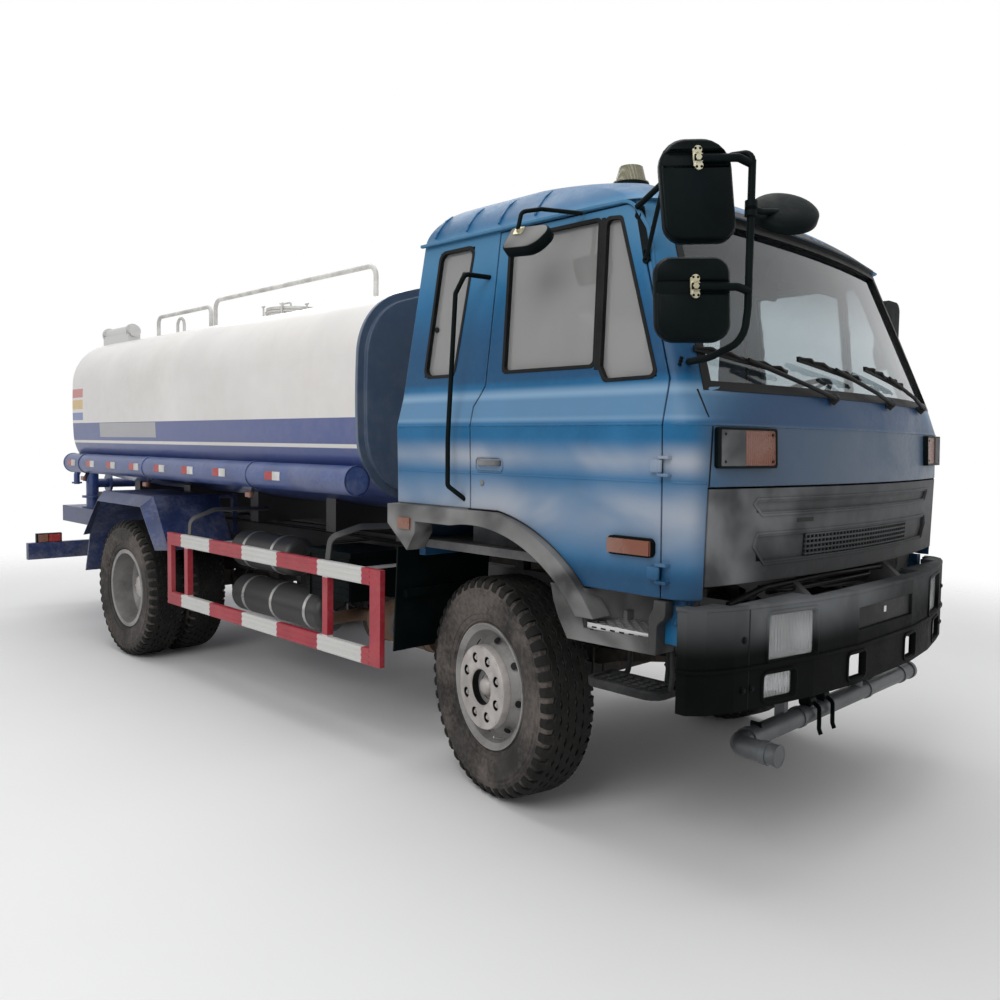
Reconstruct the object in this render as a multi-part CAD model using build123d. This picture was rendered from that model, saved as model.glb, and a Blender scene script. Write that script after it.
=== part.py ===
from build123d import *
import math
import os

# Two-axle forward-control water tanker. Millimetres. +X forward, +Y to the vehicle's left, +Z up.
# Places along X are counted from the rear axle; every node is shifted at export by ORIGIN_X, so that
# the finished part stands with z = 0 on the ground and x = 0 midway between its front and rear ends.

# ---------------------------------------------------------------- driving dimensions
WHEELBASE = 3950.0
CAB_DATUM = WHEELBASE - 3950.0   # the cab's own places along X are counted from here
FRONT_AXLE_X = WHEELBASE - CAB_DATUM
TYRE_RADIUS = 523.0
TYRE_WIDTH = 278.0
RIM_RADIUS = 300.0          # outer edge of the rim flange
RIM_WIDTH = 205.0
FRONT_TRACK = 1890.0
REAR_TRACK = 1850.0         # between the middles of the twin wheels
TWIN_SPACING = 320.0
KINGPIN_Y = 790.0
REST_STEER_DEG = 12.0       # both front wheels point to the right by this angle
RUN_CLEARANCE = 0.1         # radial, shafts and pins in their bores
SEAT_GAP = 0.3              # between a piece and the curved seat that carries it

FRAME_HALF_WIDTH = 430.0
FRAME_HEIGHT = 240.0
FRAME_TOP = 985.0
FRAME_WALL = 10.0
FRAME_FLANGE = 75.0
FRAME_FRONT = CAB_DATUM + 5110.0
FRAME_REAR = -2330.0

BUMPER_FRONT = 5335.0
BUMPER_HALF_WIDTH = 1215.0
BUMPER_TOP = 1085.0
BUMPER_BOTTOM = 690.0
BUMPER_WALL = 25.0
BUMPER_LEDGE = 72.0
REAR_BAR_X = -2400.0        # rear face of the rear bar
REAR_BAR_HALF_WIDTH = 1200.0

CAB_WALL = 45.0
CAB_GAP = 8.0               # shut lines
CAB_BOTTOM = 1105.0
FLOOR_BOTTOM = 1160.0
DOOR_REAR_LOW = 3925.0
DOOR_REAR_HIGH = 3985.0
DOOR_FRONT = 4965.0
GLASS_THICK = 8.0
PIVOT_X = 5205.0            # cab tilt pivot
PIVOT_Z = 1000.0
PIVOT_PIN_RADIUS = 18.0

TANK_HALF_WIDTH = 1105.0
TANK_TOP = 2645.0
TANK_BOTTOM = 1225.0
TANK_SIDE_BULGE_RADIUS = 4500.0
TANK_TOP_BULGE_RADIUS = 2600.0
TANK_CORNER_RADIUS = 385.0
TANK_FRONT = 2930.0
TANK_REAR = -1400.0
TANK_EDGE = 45.0            # rounding where shell and heads meet
HEAD_DISH = 25.0

SIDE_TUBE_RADIUS = 82.0
SIDE_TUBE_Z = 1462.0
SIDE_TUBE_WALL = 6.0

AXLE_Z = TYRE_RADIUS

# The round mirrors reach further forward than anything else. Their backs face forward, outward and up.
ROUND_MIRROR_X = 5330.0
ROUND_MIRROR_Y = 1015.0
ROUND_MIRROR_Z = 2490.0
ROUND_MIRROR_RADIUS = 106.0
ROUND_MIRROR_THICK = 42.0
ROUND_MIRROR_FACING = (0.50, -0.49, 0.714)
FRONT_X = (ROUND_MIRROR_X + ROUND_MIRROR_THICK / 2 * ROUND_MIRROR_FACING[0]
           + ROUND_MIRROR_RADIUS * math.sqrt(1 - ROUND_MIRROR_FACING[0]**2))
ORIGIN_X = (CAB_DATUM + FRONT_X + REAR_BAR_X) / 2
FRAME_BOTTOM = FRAME_TOP - FRAME_HEIGHT


# ---------------------------------------------------------------- shape helpers
def block(x0, x1, y0, y1, z0, z1):
    """A box between two corners."""
    return Pos((x0 + x1) / 2, (y0 + y1) / 2, (z0 + z1) / 2) * Box(abs(x1 - x0), abs(y1 - y0), abs(z1 - z0))


def rod(start, end, radius):
    """A round bar between two points."""
    start, end = Vector(*start), Vector(*end)
    plane = Plane(origin=start, z_dir=(end - start))
    return extrude(plane * Circle(radius), (end - start).length)


def bar_y(x, z, radius, y0, y1):
    """A round bar along Y."""
    return rod((x, min(y0, y1), z), (x, max(y0, y1), z), radius)


def side_plate(points, y0, y1):
    """A plate whose outline is given in X and Z, between two values of Y."""
    face = make_face(Plane.XZ * Polyline(*points, close=True))
    return Pos(0, min(y0, y1), 0) * extrude(face, abs(y1 - y0), dir=(0, 1, 0))


def cross_plate(points, x0, x1):
    """A plate whose outline is given in Y and Z, between two values of X."""
    face = make_face(Plane.YZ * Polyline(*points, close=True))
    return Pos(x0, 0, 0) * extrude(face, x1 - x0, dir=(1, 0, 0))


def bent_bar(points, bend, radius):
    """A round bar along straight runs joined by arcs."""
    path = FilletPolyline(*points, radius=bend)
    start = path @ 0
    return sweep(Plane(origin=start, z_dir=path % 0) * Circle(radius), path=path)


def other_side(shape):
    """The same shape on the other side of the vehicle."""
    return mirror(shape, about=Plane.XZ)


def solids_of(shapes):
    """All solids in a list of shapes."""
    found = []
    for shape in shapes:
        found += list(shape.solids())
    return found


def save(node, *shapes, datum=0.0):
    """Writes one node, shifted to the part's own origin."""
    solids = solids_of(shapes)
    whole = Compound(children=solids) if len(solids) > 1 else solids[0]
    export_step(Pos(datum - ORIGIN_X, 0, 0) * whole, f"parts/{node}.step")


def save_cab(node, *shapes):
    """Writes a node whose places along X are counted from the cab's datum."""
    save(node, *shapes, datum=CAB_DATUM)


# ---------------------------------------------------------------- tank
def tank_corner():
    """Centre of a corner arc, which touches the side arc and the top arc from inside."""
    mid = (TANK_TOP + TANK_BOTTOM) / 2
    side_centre = TANK_HALF_WIDTH - TANK_SIDE_BULGE_RADIUS
    top_centre = (TANK_TOP - mid) - TANK_TOP_BULGE_RADIUS
    reach_side = TANK_SIDE_BULGE_RADIUS - TANK_CORNER_RADIUS
    reach_top = TANK_TOP_BULGE_RADIUS - TANK_CORNER_RADIUS
    gap = math.hypot(side_centre, top_centre)
    along = (reach_side**2 - reach_top**2 + gap**2) / (2 * gap)
    off = math.sqrt(reach_side**2 - along**2)
    ux, uz = -side_centre / gap, top_centre / gap
    return side_centre + along * ux - off * uz, along * uz + off * ux, mid


def tank_face(grow=0.0):
    """The tank's cross-section, eight arcs, grown outwards by a distance."""
    cy, cz, mid = tank_corner()
    side_centre = TANK_HALF_WIDTH - TANK_SIDE_BULGE_RADIUS
    top_centre = (TANK_TOP - mid) - TANK_TOP_BULGE_RADIUS
    radius = TANK_CORNER_RADIUS + grow
    to_side = math.atan2(cz, cy - side_centre)
    to_top = math.atan2(cz - top_centre, cy)
    half = (to_side + to_top) / 2
    spots = [(cy + radius * math.cos(a), cz + radius * math.sin(a)) for a in (to_side, half, to_top)]
    top, side = TANK_TOP - mid + grow, TANK_HALF_WIDTH + grow
    edges = []
    for sy, sz in ((1, 1), (-1, 1), (-1, -1), (1, -1)):
        corner = [(sy * y, mid + sz * z) for y, z in spots]
        edges.append(ThreePointArc(*corner))
    for sz in (1, -1):
        edges.append(ThreePointArc((spots[2][0], mid + sz * spots[2][1]), (0, mid + sz * top),
                                   (-spots[2][0], mid + sz * spots[2][1])))
    for sy in (1, -1):
        edges.append(ThreePointArc((sy * spots[0][0], mid + spots[0][1]), (sy * side, mid),
                                   (sy * spots[0][0], mid - spots[0][1])))
    return make_face([Plane.YZ * edge for edge in edges])


def tank_prism(x0, x1, grow=0.0):
    """The tank's cross-section carried along X."""
    return Pos(x0, 0, 0) * extrude(tank_face(grow), x1 - x0, dir=(1, 0, 0))


MANHOLE_X = 560.0
MANHOLE_RADIUS = 255.0
MANHOLE_TOP = TANK_TOP + 62.0
LID_THICK = 22.0
LID_LIFT = 2.0
LID_HINGE_Y = MANHOLE_RADIUS + 45.0
LID_PIN_RADIUS = 7.0


def tank():
    """The tank with its two stepped heads and the neck of its manhole."""
    shell = tank_prism(TANK_REAR + HEAD_DISH, TANK_FRONT - HEAD_DISH)
    for x0, x1 in ((TANK_FRONT - HEAD_DISH, TANK_FRONT), (TANK_REAR, TANK_REAR + HEAD_DISH)):
        shell += tank_prism(x0, x1, -TANK_EDGE)
    root = TANK_TOP - 60
    neck = Pos(MANHOLE_X, 0, (root + MANHOLE_TOP) / 2) * Cylinder(MANHOLE_RADIUS, MANHOLE_TOP - root)
    return shell + neck


def manhole_lid():
    """A round lid on its neck, with a hinge lug on the left."""
    low = MANHOLE_TOP + LID_LIFT
    mid = low + LID_THICK / 2
    x0, x1 = MANHOLE_X - 40, MANHOLE_X + 40
    plate = Pos(MANHOLE_X, 0, mid) * Cylinder(MANHOLE_RADIUS + 12, LID_THICK)
    lug = block(x0, x1, MANHOLE_RADIUS - 10, LID_HINGE_Y, low, low + LID_THICK)
    eye = rod((x0, LID_HINGE_Y, mid), (x1, LID_HINGE_Y, mid), 16)
    bore = rod((x0 - 20, LID_HINGE_Y, mid), (x1 + 20, LID_HINGE_Y, mid), LID_PIN_RADIUS + RUN_CLEARANCE)
    foot, grip = low + LID_THICK - 2, low + 70
    handle = bent_bar([(MANHOLE_X - 60, -120, foot), (MANHOLE_X - 60, -120, grip),
                       (MANHOLE_X + 60, -120, grip), (MANHOLE_X + 60, -120, foot)], 18, 7)
    return plate + lug + eye - bore + handle


def lid_hinge():
    """Two ears and the pin on the tank's neck that carry the lid."""
    z = MANHOLE_TOP + LID_LIFT + LID_THICK / 2
    ears = []
    for side in (-1, 1):
        x0 = MANHOLE_X + side * 44
        x1, y1, root = x0 + side * 12, LID_HINGE_Y + 14, TANK_TOP - 45
        ear = block(x0, x1, MANHOLE_RADIUS - 8, y1, root, MANHOLE_TOP - 2)
        ears.append(ear + block(x0, x1, MANHOLE_RADIUS + 18, y1, root, z + 14))
    pin = rod((MANHOLE_X - 56, LID_HINGE_Y, z), (MANHOLE_X + 56, LID_HINGE_Y, z), LID_PIN_RADIUS)
    return ears[0] + ears[1] + pin


# Hoops on the tank's top: start X, end X, height above the tank, bend radius, tube radius
RAIL_RADIUS = 17.0
RAIL_Y = -340.0
HOOPS = (
    (-210.0, 2040.0, 230.0, 75.0, RAIL_RADIUS),
    (-1330.0, -290.0, 190.0, 60.0, RAIL_RADIUS),
    (-930.0, -800.0, 140.0, 62.0, 13.0),
)


def tank_surface_z(y):
    """Height of the tank's top surface at a distance from the middle."""
    centre = TANK_TOP - TANK_TOP_BULGE_RADIUS
    return centre + math.sqrt(TANK_TOP_BULGE_RADIUS**2 - y**2)


def tank_rails():
    """The bent hoops that stand in one row on the tank."""
    foot = tank_surface_z(RAIL_Y)
    pieces = []
    for x0, x1, height, bend, radius in HOOPS:
        hoop = bent_bar([(x0, RAIL_Y, foot - 5), (x0, RAIL_Y, foot + height), (x1, RAIL_Y, foot + height),
                         (x1, RAIL_Y, foot - 5)], bend, radius)
        pieces.append(hoop - tank_prism(TANK_REAR, TANK_FRONT, SEAT_GAP))
    return pieces


TOP_PIPE_Y = -640.0
TOP_PIPE_RADIUS = 52.0


def top_pipe():
    """A short flanged pipe on a saddle plate at the rear of the tank's right shoulder."""
    seat = tank_surface_z(TOP_PIPE_Y)
    z = seat + TOP_PIPE_RADIUS + 30
    x0, x1 = TANK_REAR - 330, TANK_REAR + 260
    pipe = rod((x0, TOP_PIPE_Y, z), (x1, TOP_PIPE_Y, z), TOP_PIPE_RADIUS)
    for x in (x0, x1 - 60):
        pipe += rod((x, TOP_PIPE_Y, z), (x + 16, TOP_PIPE_Y, z), TOP_PIPE_RADIUS + 14)
    plate = block(x0, x1 - 20, TOP_PIPE_Y - 55, TOP_PIPE_Y + 55, seat - 60, z - 20)
    return pipe + plate - tank_prism(TANK_REAR, TANK_FRONT, SEAT_GAP)


def side_tube_y():
    """Y of a side tube that lies against the tank's lower corner."""
    cy, cz, mid = tank_corner()
    reach = TANK_CORNER_RADIUS + SIDE_TUBE_RADIUS + SEAT_GAP
    drop = (mid - cz) - SIDE_TUBE_Z
    return cy + math.sqrt(reach**2 - drop**2)


SIDE_TUBE_REAR = TANK_REAR + 10.0
SIDE_TUBE_FRONT = TANK_FRONT - 30.0


def side_tube():
    y = -side_tube_y()
    tube = rod((SIDE_TUBE_REAR, y, SIDE_TUBE_Z), (SIDE_TUBE_FRONT, y, SIDE_TUBE_Z), SIDE_TUBE_RADIUS)
    return tube - rod((SIDE_TUBE_REAR - 10, y, SIDE_TUBE_Z), (SIDE_TUBE_FRONT + 10, y, SIDE_TUBE_Z),
                      SIDE_TUBE_RADIUS - SIDE_TUBE_WALL)


# ---------------------------------------------------------------- chassis
CROSS_MEMBERS = (-2250.0, -1100.0, 600.0, 1700.0, CAB_DATUM + 2700.0, CAB_DATUM + 4900.0)
SUBFRAME_HEIGHT = 95.0
SADDLES = (-1150.0, -150.0, 950.0, 1950.0, 2700.0)
SADDLE_HALF_WIDTH = 630.0
SADDLE_LENGTH = 110.0
SADDLE_HEIGHT = 250.0
CAB_REST_X = 3490.0


def rail():
    """The right-hand rail, a channel open to the middle."""
    y0, y1 = -FRAME_HALF_WIDTH, -FRAME_HALF_WIDTH + FRAME_FLANGE
    whole = block(FRAME_REAR, FRAME_FRONT, y0, y1, FRAME_BOTTOM, FRAME_TOP)
    return whole - block(FRAME_REAR - 1, FRAME_FRONT + 1, y0 + FRAME_WALL, y1 + 1,
                         FRAME_BOTTOM + FRAME_WALL, FRAME_TOP - FRAME_WALL)


def frame_rail():
    """The right-hand rail with the bracket and pin of the cab's pivot and the post of its rear rest."""
    pivot_x, rest_x = CAB_DATUM + PIVOT_X, CAB_DATUM + CAB_REST_X
    horn = side_plate([(FRAME_FRONT - 160, FRAME_BOTTOM + 40), (pivot_x + 32, PIVOT_Z - 120),
                       (pivot_x + 32, PIVOT_Z + 30), (pivot_x - 30, PIVOT_Z + 30),
                       (FRAME_FRONT - 160, FRAME_TOP - 5)],
                      -FRAME_HALF_WIDTH, -FRAME_HALF_WIDTH + 16)
    pin = bar_y(pivot_x, PIVOT_Z, PIVOT_PIN_RADIUS, -FRAME_HALF_WIDTH + 2, -FRAME_HALF_WIDTH - 62)
    rest_y = FRAME_HALF_WIDTH - 35
    post = block(rest_x - 30, rest_x + 30, -rest_y - 30, -rest_y + 30, FRAME_TOP - 5, FLOOR_BOTTOM - SEAT_GAP)
    return rail() + horn + pin + post


def cross_members():
    """The box members between the two rails' webs."""
    inner = FRAME_HALF_WIDTH - FRAME_WALL - SEAT_GAP
    return [block(x - 35, x + 35, -inner, inner, FRAME_TOP - 110, FRAME_TOP - 15) for x in CROSS_MEMBERS]


def tank_bearer():
    """The right-hand bearer along the top of the frame."""
    y0 = -FRAME_HALF_WIDTH
    return block(TANK_REAR + 20, TANK_FRONT - 60, y0, y0 + 70, FRAME_TOP + SEAT_GAP, FRAME_TOP + SUBFRAME_HEIGHT)


def tank_saddles():
    """The cradles between the bearers and the tank."""
    low = FRAME_TOP + SUBFRAME_HEIGHT + SEAT_GAP
    whole = tank_prism(TANK_REAR, TANK_FRONT, SEAT_GAP)
    return [block(x - SADDLE_LENGTH / 2, x + SADDLE_LENGTH / 2, -SADDLE_HALF_WIDTH, SADDLE_HALF_WIDTH, low,
                  low + SADDLE_HEIGHT) - whole for x in SADDLES]


SPRING_HALF_WIDTH = 38.0
SPRING_Y = FRAME_HALF_WIDTH - 40.0
# Leaf springs: axle X, half length, eye height, seat height (top of the axle), leaves
SPRINGS = (
    (WHEELBASE, 700.0, FRAME_BOTTOM - 60.0, 560.0, 7),
    (0.0, 760.0, FRAME_BOTTOM - 60.0, 610.0, 9),
)
LEAF = 11.0


def leaf_spring(axle_x, half, eye_z, seat_z, leaves):
    """One pack of leaves on the right, as one piece, with its two hangers."""
    sag_z = seat_z + leaves * LEAF
    y0, y1 = -SPRING_Y - SPRING_HALF_WIDTH, -SPRING_Y + SPRING_HALF_WIDTH
    outline = [(axle_x - half, eye_z), (axle_x, sag_z), (axle_x + half, eye_z)]
    low = [(axle_x + half, eye_z - LEAF), (axle_x + 0.35 * half, seat_z + 0.3 * (eye_z - seat_z)),
           (axle_x + 120, seat_z), (axle_x - 120, seat_z),
           (axle_x - 0.35 * half, seat_z + 0.3 * (eye_z - seat_z)), (axle_x - half, eye_z - LEAF)]
    pack = side_plate(outline + low, y0, y1)
    for end in (-1, 1):
        x = axle_x + end * half
        pack += side_plate([(x - 45, eye_z - 25), (x + 45, eye_z - 25), (x + 70, FRAME_BOTTOM - SEAT_GAP),
                            (x - 70, FRAME_BOTTOM - SEAT_GAP)], y0, y1)
    return pack


KINGPIN_RADIUS = 24.0
STUB_RADIUS = 38.0
FRONT_WHEEL_Y = FRONT_TRACK / 2
ARM_BACK = 190.0            # from the kingpin back to the track rod's pin
ROD_EYE_HALF = 18.0
ARM_BOTTOM = AXLE_Z - 103.0
TRACK_ROD_Z = ARM_BOTTOM - ROD_EYE_HALF - SEAT_GAP
ROD_PIN_RADIUS = 12.0


def front_axle():
    """A dropped beam with its spring pads and the eyes of the kingpins."""
    z = AXLE_Z
    pad = SPRINGS[0][3] - SEAT_GAP
    beam = block(WHEELBASE - 40, WHEELBASE + 40, -SPRING_Y - 90, SPRING_Y + 90, pad - 95, pad)
    for side in (-1, 1):
        arm = cross_plate([(side * (SPRING_Y + 60), pad - 95), (side * (SPRING_Y + 60), pad),
                           (side * (KINGPIN_Y + 0), z + 62), (side * (KINGPIN_Y + 0), z - 62)],
                          WHEELBASE - 40, WHEELBASE + 40)
        eye = Pos(WHEELBASE, side * KINGPIN_Y, z) * Cylinder(48, 124)
        bore = Pos(WHEELBASE, side * KINGPIN_Y, z) * Cylinder(KINGPIN_RADIUS + RUN_CLEARANCE, 400)
        beam = beam + arm + eye - bore
    return beam


def knuckle():
    """The right-hand knuckle with its kingpin, stub axle and track-rod arm, pointing straight ahead."""
    y = -KINGPIN_Y
    body = Pos(WHEELBASE, y, AXLE_Z) * Cylinder(KINGPIN_RADIUS, 210)
    for side in (-1, 1):
        z = AXLE_Z + side * 85
        body += block(WHEELBASE - 45, WHEELBASE + 45, y - 62, y + 50, z - 18, z + 18)
    body += block(WHEELBASE - 50, WHEELBASE + 50, y - 85, y - 55, AXLE_Z - 103, AXLE_Z + 103)
    body += bar_y(WHEELBASE, AXLE_Z, STUB_RADIUS, y - 60, -FRONT_WHEEL_Y - 40)
    arm = block(WHEELBASE - ARM_BACK - 22, WHEELBASE - 20, y - 22, y + 22, ARM_BOTTOM, ARM_BOTTOM + 24)
    pin = rod((WHEELBASE - ARM_BACK, y, TRACK_ROD_Z - ROD_EYE_HALF),
              (WHEELBASE - ARM_BACK, y, ARM_BOTTOM + 12), ROD_PIN_RADIUS)
    return body + arm + pin


def steered(shape, side):
    """Turns a front piece about its kingpin to the rest angle. side is -1 on the right."""
    centre = Pos(WHEELBASE, side * KINGPIN_Y, 0)
    return centre * Rot(0, 0, -REST_STEER_DEG) * centre.inverse() * shape


def rod_pin(side):
    """Place of a track-rod pin at the rest angle."""
    turn = math.radians(-REST_STEER_DEG)
    return (WHEELBASE - ARM_BACK * math.cos(turn), side * KINGPIN_Y - ARM_BACK * math.sin(turn), TRACK_ROD_Z)


def track_rod():
    right, left = rod_pin(-1), rod_pin(1)
    bar = rod((right[0], right[1], right[2]), (left[0], left[1], left[2]), 17)
    for spot in (right, left):
        bar += Pos(*spot) * Cylinder(27, 2 * ROD_EYE_HALF)
    for spot in (right, left):
        bar -= Pos(*spot) * Cylinder(ROD_PIN_RADIUS + RUN_CLEARANCE, 80)
    return bar


# ---------------------------------------------------------------- wheels
BEAD_RADIUS = RIM_RADIUS - 22.0
HUB_PLATE_RADIUS = 195.0


def ring_y(points, y):
    """Turns an outline of (distance outwards from y, radius) pairs round the wheel's own axis."""
    face = make_face(Plane.XY * Polyline(*[(r, d) for d, r in points], close=True))
    return Pos(0, y, 0) * revolve(face, axis=Axis.Y)


def tyre(y):
    """A tyre about the Y axis, with its middle at y."""
    half, tread = TYRE_WIDTH / 2, TYRE_RADIUS
    rim = RIM_WIDTH / 2
    outline = [(-rim, BEAD_RADIUS + SEAT_GAP), (rim, BEAD_RADIUS + SEAT_GAP), (rim, RIM_RADIUS + 3),
               (half - 8, tread - 160), (half, tread - 110), (half - 5, tread - 60), (half - 24, tread - 14),
               (half - 45, tread - 4), (half - 90, tread), (-half + 90, tread), (-half + 45, tread - 4),
               (-half + 24, tread - 14), (-half + 5, tread - 60), (-half, tread - 110),
               (-half + 8, tread - 160), (-rim, RIM_RADIUS + 3)]
    return ring_y(outline, y)


def rim_barrel(y):
    """A rim about the Y axis: well, bead seats and flanges."""
    rim, wall = RIM_WIDTH / 2, 9.0
    low, seat, flange = BEAD_RADIUS - wall, BEAD_RADIUS, RIM_RADIUS
    outline = [(-rim - 12, low), (rim + 12, low), (rim + 12, flange), (rim + 2, flange), (rim + 2, seat),
               (-rim - 2, seat), (-rim - 2, flange), (-rim - 12, flange)]
    return ring_y(outline, y)


def front_wheel(out):
    """Front rim with its disc and hub about the Y axis; out is -1 when the outside faces -Y."""
    barrel = rim_barrel(0)
    face = 150.0
    low = BEAD_RADIUS - 9.0
    disc = [(60, low + 1), (75, low + 1), (face, HUB_PLATE_RADIUS), (face, 70), (face + 45, 60),
            (face + 45, 0), (face - 30, 0), (-10, 0), (-10, STUB_RADIUS + RUN_CLEARANCE), (-10, 95), (face - 40, 95),
            (face - 14, 110), (face - 14, HUB_PLATE_RADIUS - 6)]
    solid = ring_y([(out * d, r) for d, r in disc], 0)
    whole = barrel + solid
    depth = 46.0
    return whole - rod((0, -out * 30, 0), (0, out * depth, 0), STUB_RADIUS + RUN_CLEARANCE)


def place_wheel(shape, x, y):
    """Sets a wheel's piece on its axle."""
    return Pos(x, y, AXLE_Z) * shape


REAR_AXLE_RADIUS = 62.0
REAR_WHEEL_Y = REAR_TRACK / 2
DIFF_RADIUS = 205.0
SHAFT_RADIUS = 42.0


def rear_rims(out):
    """The two rims of a twin wheel with their discs back to back, and the hub."""
    half = TWIN_SPACING / 2
    whole = rim_barrel(-out * half) + rim_barrel(out * half)
    low = BEAD_RADIUS - 9.0
    web = [(-15, 100), (15, 100), (15, 200), (half - 40, low + 1), (half - 52, low + 1), (0, 212),
           (-half + 52, low + 1), (-half + 40, low + 1), (-15, 200)]
    whole += ring_y([(out * d, r) for d, r in web], 0)
    hub = [(-160, REAR_AXLE_RADIUS + RUN_CLEARANCE), (-160, 150), (-15, 150), (-15, 190), (15, 190), (15, 95),
           (150, 85), (165, 60), (165, 0), (150, 0), (110, 0), (110, REAR_AXLE_RADIUS + RUN_CLEARANCE)]
    return whole + ring_y([(out * d, r) for d, r in hub], 0)


# Engine block and gearbox, along X from the cab's datum
ENGINE_X = (3700.0, 4780.0)
GEARBOX_Z = 850.0
GEARBOX_LENGTH = 700.0


def rear_axle():
    """Banjo housing with its tubes, spring seats, pinion nose and the propeller shaft."""
    tube = bar_y(0, AXLE_Z, REAR_AXLE_RADIUS, -REAR_WHEEL_Y - 90, REAR_WHEEL_Y + 90)
    case = rod((-150, 0, AXLE_Z), (150, 0, AXLE_Z), DIFF_RADIUS)
    nose = rod((140, 0, AXLE_Z + 10), (360, 0, AXLE_Z + 20), 75)
    body = tube + case + nose
    seat = SPRINGS[1][3] - SEAT_GAP
    for side in (-1, 1):
        y = side * SPRING_Y
        body += block(-70, 70, y - 45, y + 45, AXLE_Z - 20, seat)
    end = CAB_DATUM + ENGINE_X[0] - GEARBOX_LENGTH - SEAT_GAP
    flange = rod((end - 60, 0, GEARBOX_Z), (end, 0, GEARBOX_Z), SHAFT_RADIUS + 18)
    return body + rod((355, 0, AXLE_Z + 20), (end - 30, 0, GEARBOX_Z), SHAFT_RADIUS) + flange


# ---------------------------------------------------------------- cab
# Plan outlines of the cab at several heights:
# height, rear X, half width, X where the front corner starts, corner X, corner half width, X of the nose
CAB_LEVELS = (
    (CAB_BOTTOM, 3390.0, 1195.0, 4985.0, 5120.0, 1085.0, 5225.0),
    (1540.0, 3390.0, 1203.0, 4985.0, 5128.0, 1092.0, 5240.0),
    (1755.0, 3390.0, 1210.0, 4980.0, 5122.0, 1095.0, 5228.0),
    (1890.0, 3398.0, 1178.0, 4950.0, 5082.0, 1075.0, 5205.0),
    (2640.0, 3450.0, 1085.0, 4690.0, 4790.0, 965.0, 4868.0),
)
ROOF_LEVELS = (
    (2640.0, 3432.0, 1098.0, 4705.0, 4815.0, 975.0, 4895.0),
    (2700.0, 3440.0, 1070.0, 4600.0, 4735.0, 935.0, 4830.0),
    (2765.0, 3475.0, 1015.0, 4400.0, 4620.0, 865.0, 4705.0),
    (2825.0, 3560.0, 925.0, 4080.0, 4420.0, 770.0, 4592.0),
    (2860.0, 3740.0, 760.0, 3950.0, 4270.0, 610.0, 4508.0),
)


def plan_face(level, inset=0.0):
    """The cab's outline at one height, drawn in by a distance."""
    z, rear, half, start, corner_x, corner_y, nose = level
    rear, half = rear + inset, half - inset
    start -= inset * 0.3
    corner_x, corner_y, nose = corner_x - inset * 0.75, corner_y - inset * 0.55, nose - inset
    mid_x = (start + corner_x) / 2 + 22
    mid_y = (half + corner_y) / 2 + 18
    edges = [
        Line((rear, -half, z), (start, -half, z)),
        ThreePointArc((start, -half, z), (mid_x, -mid_y, z), (corner_x, -corner_y, z)),
        ThreePointArc((corner_x, -corner_y, z), (nose, 0, z), (corner_x, corner_y, z)),
        ThreePointArc((corner_x, corner_y, z), (mid_x, mid_y, z), (start, half, z)),
        Line((start, half, z), (rear, half, z)),
        Line((rear, half, z), (rear, -half, z)),
    ]
    return make_face(edges)


def cab_body(levels, inset=0.0):
    """A solid through the plan outlines, straight from one to the next."""
    return loft([plan_face(level, inset) for level in levels], ruled=True)


def shell_of(levels, outer, inner):
    return cab_body(levels, outer) - cab_body(levels, inner)


# Door outline in X and Z; the arch is cut afterwards with the wheel arch's own radius.
ARCH_RADIUS = 862.0
ARCH_TOP = 1372.0
DOOR_TOP = 2625.0
DOOR_TOP_FRONT = 4718.0
BELT = 1925.0
PILLAR_SLOPE = (DOOR_FRONT - DOOR_TOP_FRONT) / (DOOR_TOP - BELT)
DOOR_REBATE = 8.0           # the door's inner part is smaller than its skin by this much
DOOR_SKIN = 12.0
DOOR_OUTLINE = (
    (DOOR_REAR_LOW, CAB_BOTTOM - 20), (DOOR_REAR_LOW, 1840.0), (DOOR_REAR_HIGH, 1935.0),
    (DOOR_REAR_HIGH, DOOR_TOP), (DOOR_TOP_FRONT, DOOR_TOP), (DOOR_FRONT, BELT), (DOOR_FRONT, CAB_BOTTOM - 20),
)
MAIN_WINDOW = ((4085.0, 1990.0), (4048.0, 2590.0), (4560.0, 2590.0), (4603.0, 1990.0))
QUARTER_WINDOW = ((4628.0, 1985.0), (4588.0, 2588.0), (4668.0, 2580.0), (4912.0, 1935.0), (4662.0, 1930.0))
REAR_SIDE_WINDOW = ((3545.0, 1990.0), (3575.0, 2590.0), (3815.0, 2590.0), (3760.0, 1990.0))
SIDE_REACH = 700.0


# Door hinges, outside the skin: place of the pins, heights of the two hinges, half height of a sleeve
HINGE_X = DOOR_FRONT + 4.0
HINGE_Y = 1219.0
HINGE_HEIGHTS = (1200.0, 1600.0)
HINGE_HALF = 24.0
HINGE_RADIUS = 8.0
HINGE_PIN_RADIUS = 4.5


def side_prism(points, by=0.0):
    """A prism through the right-hand side of the cab, from an outline in X and Z."""
    face = make_face(Plane.XZ * Polyline(*points, close=True))
    if by:
        face = offset(face, by, kind=Kind.INTERSECTION)
    return Pos(0, -SIDE_REACH, 0) * extrude(face, SIDE_REACH + 100, dir=(0, -1, 0))


def arch_prism(radius):
    """What the right-hand wheel arch takes out of the cab's lower edge."""
    drum = rod((FRONT_AXLE_X, -1400, AXLE_Z), (FRONT_AXLE_X, -SIDE_REACH, AXLE_Z), radius)
    flat = block(3000, FRONT_AXLE_X, -1400, -SIDE_REACH, 600, AXLE_Z + radius)
    lid = block(2900, 5200, -1500, -600, 0, ARCH_TOP + (radius - ARCH_RADIUS))
    return (drum + flat) & lid


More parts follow.
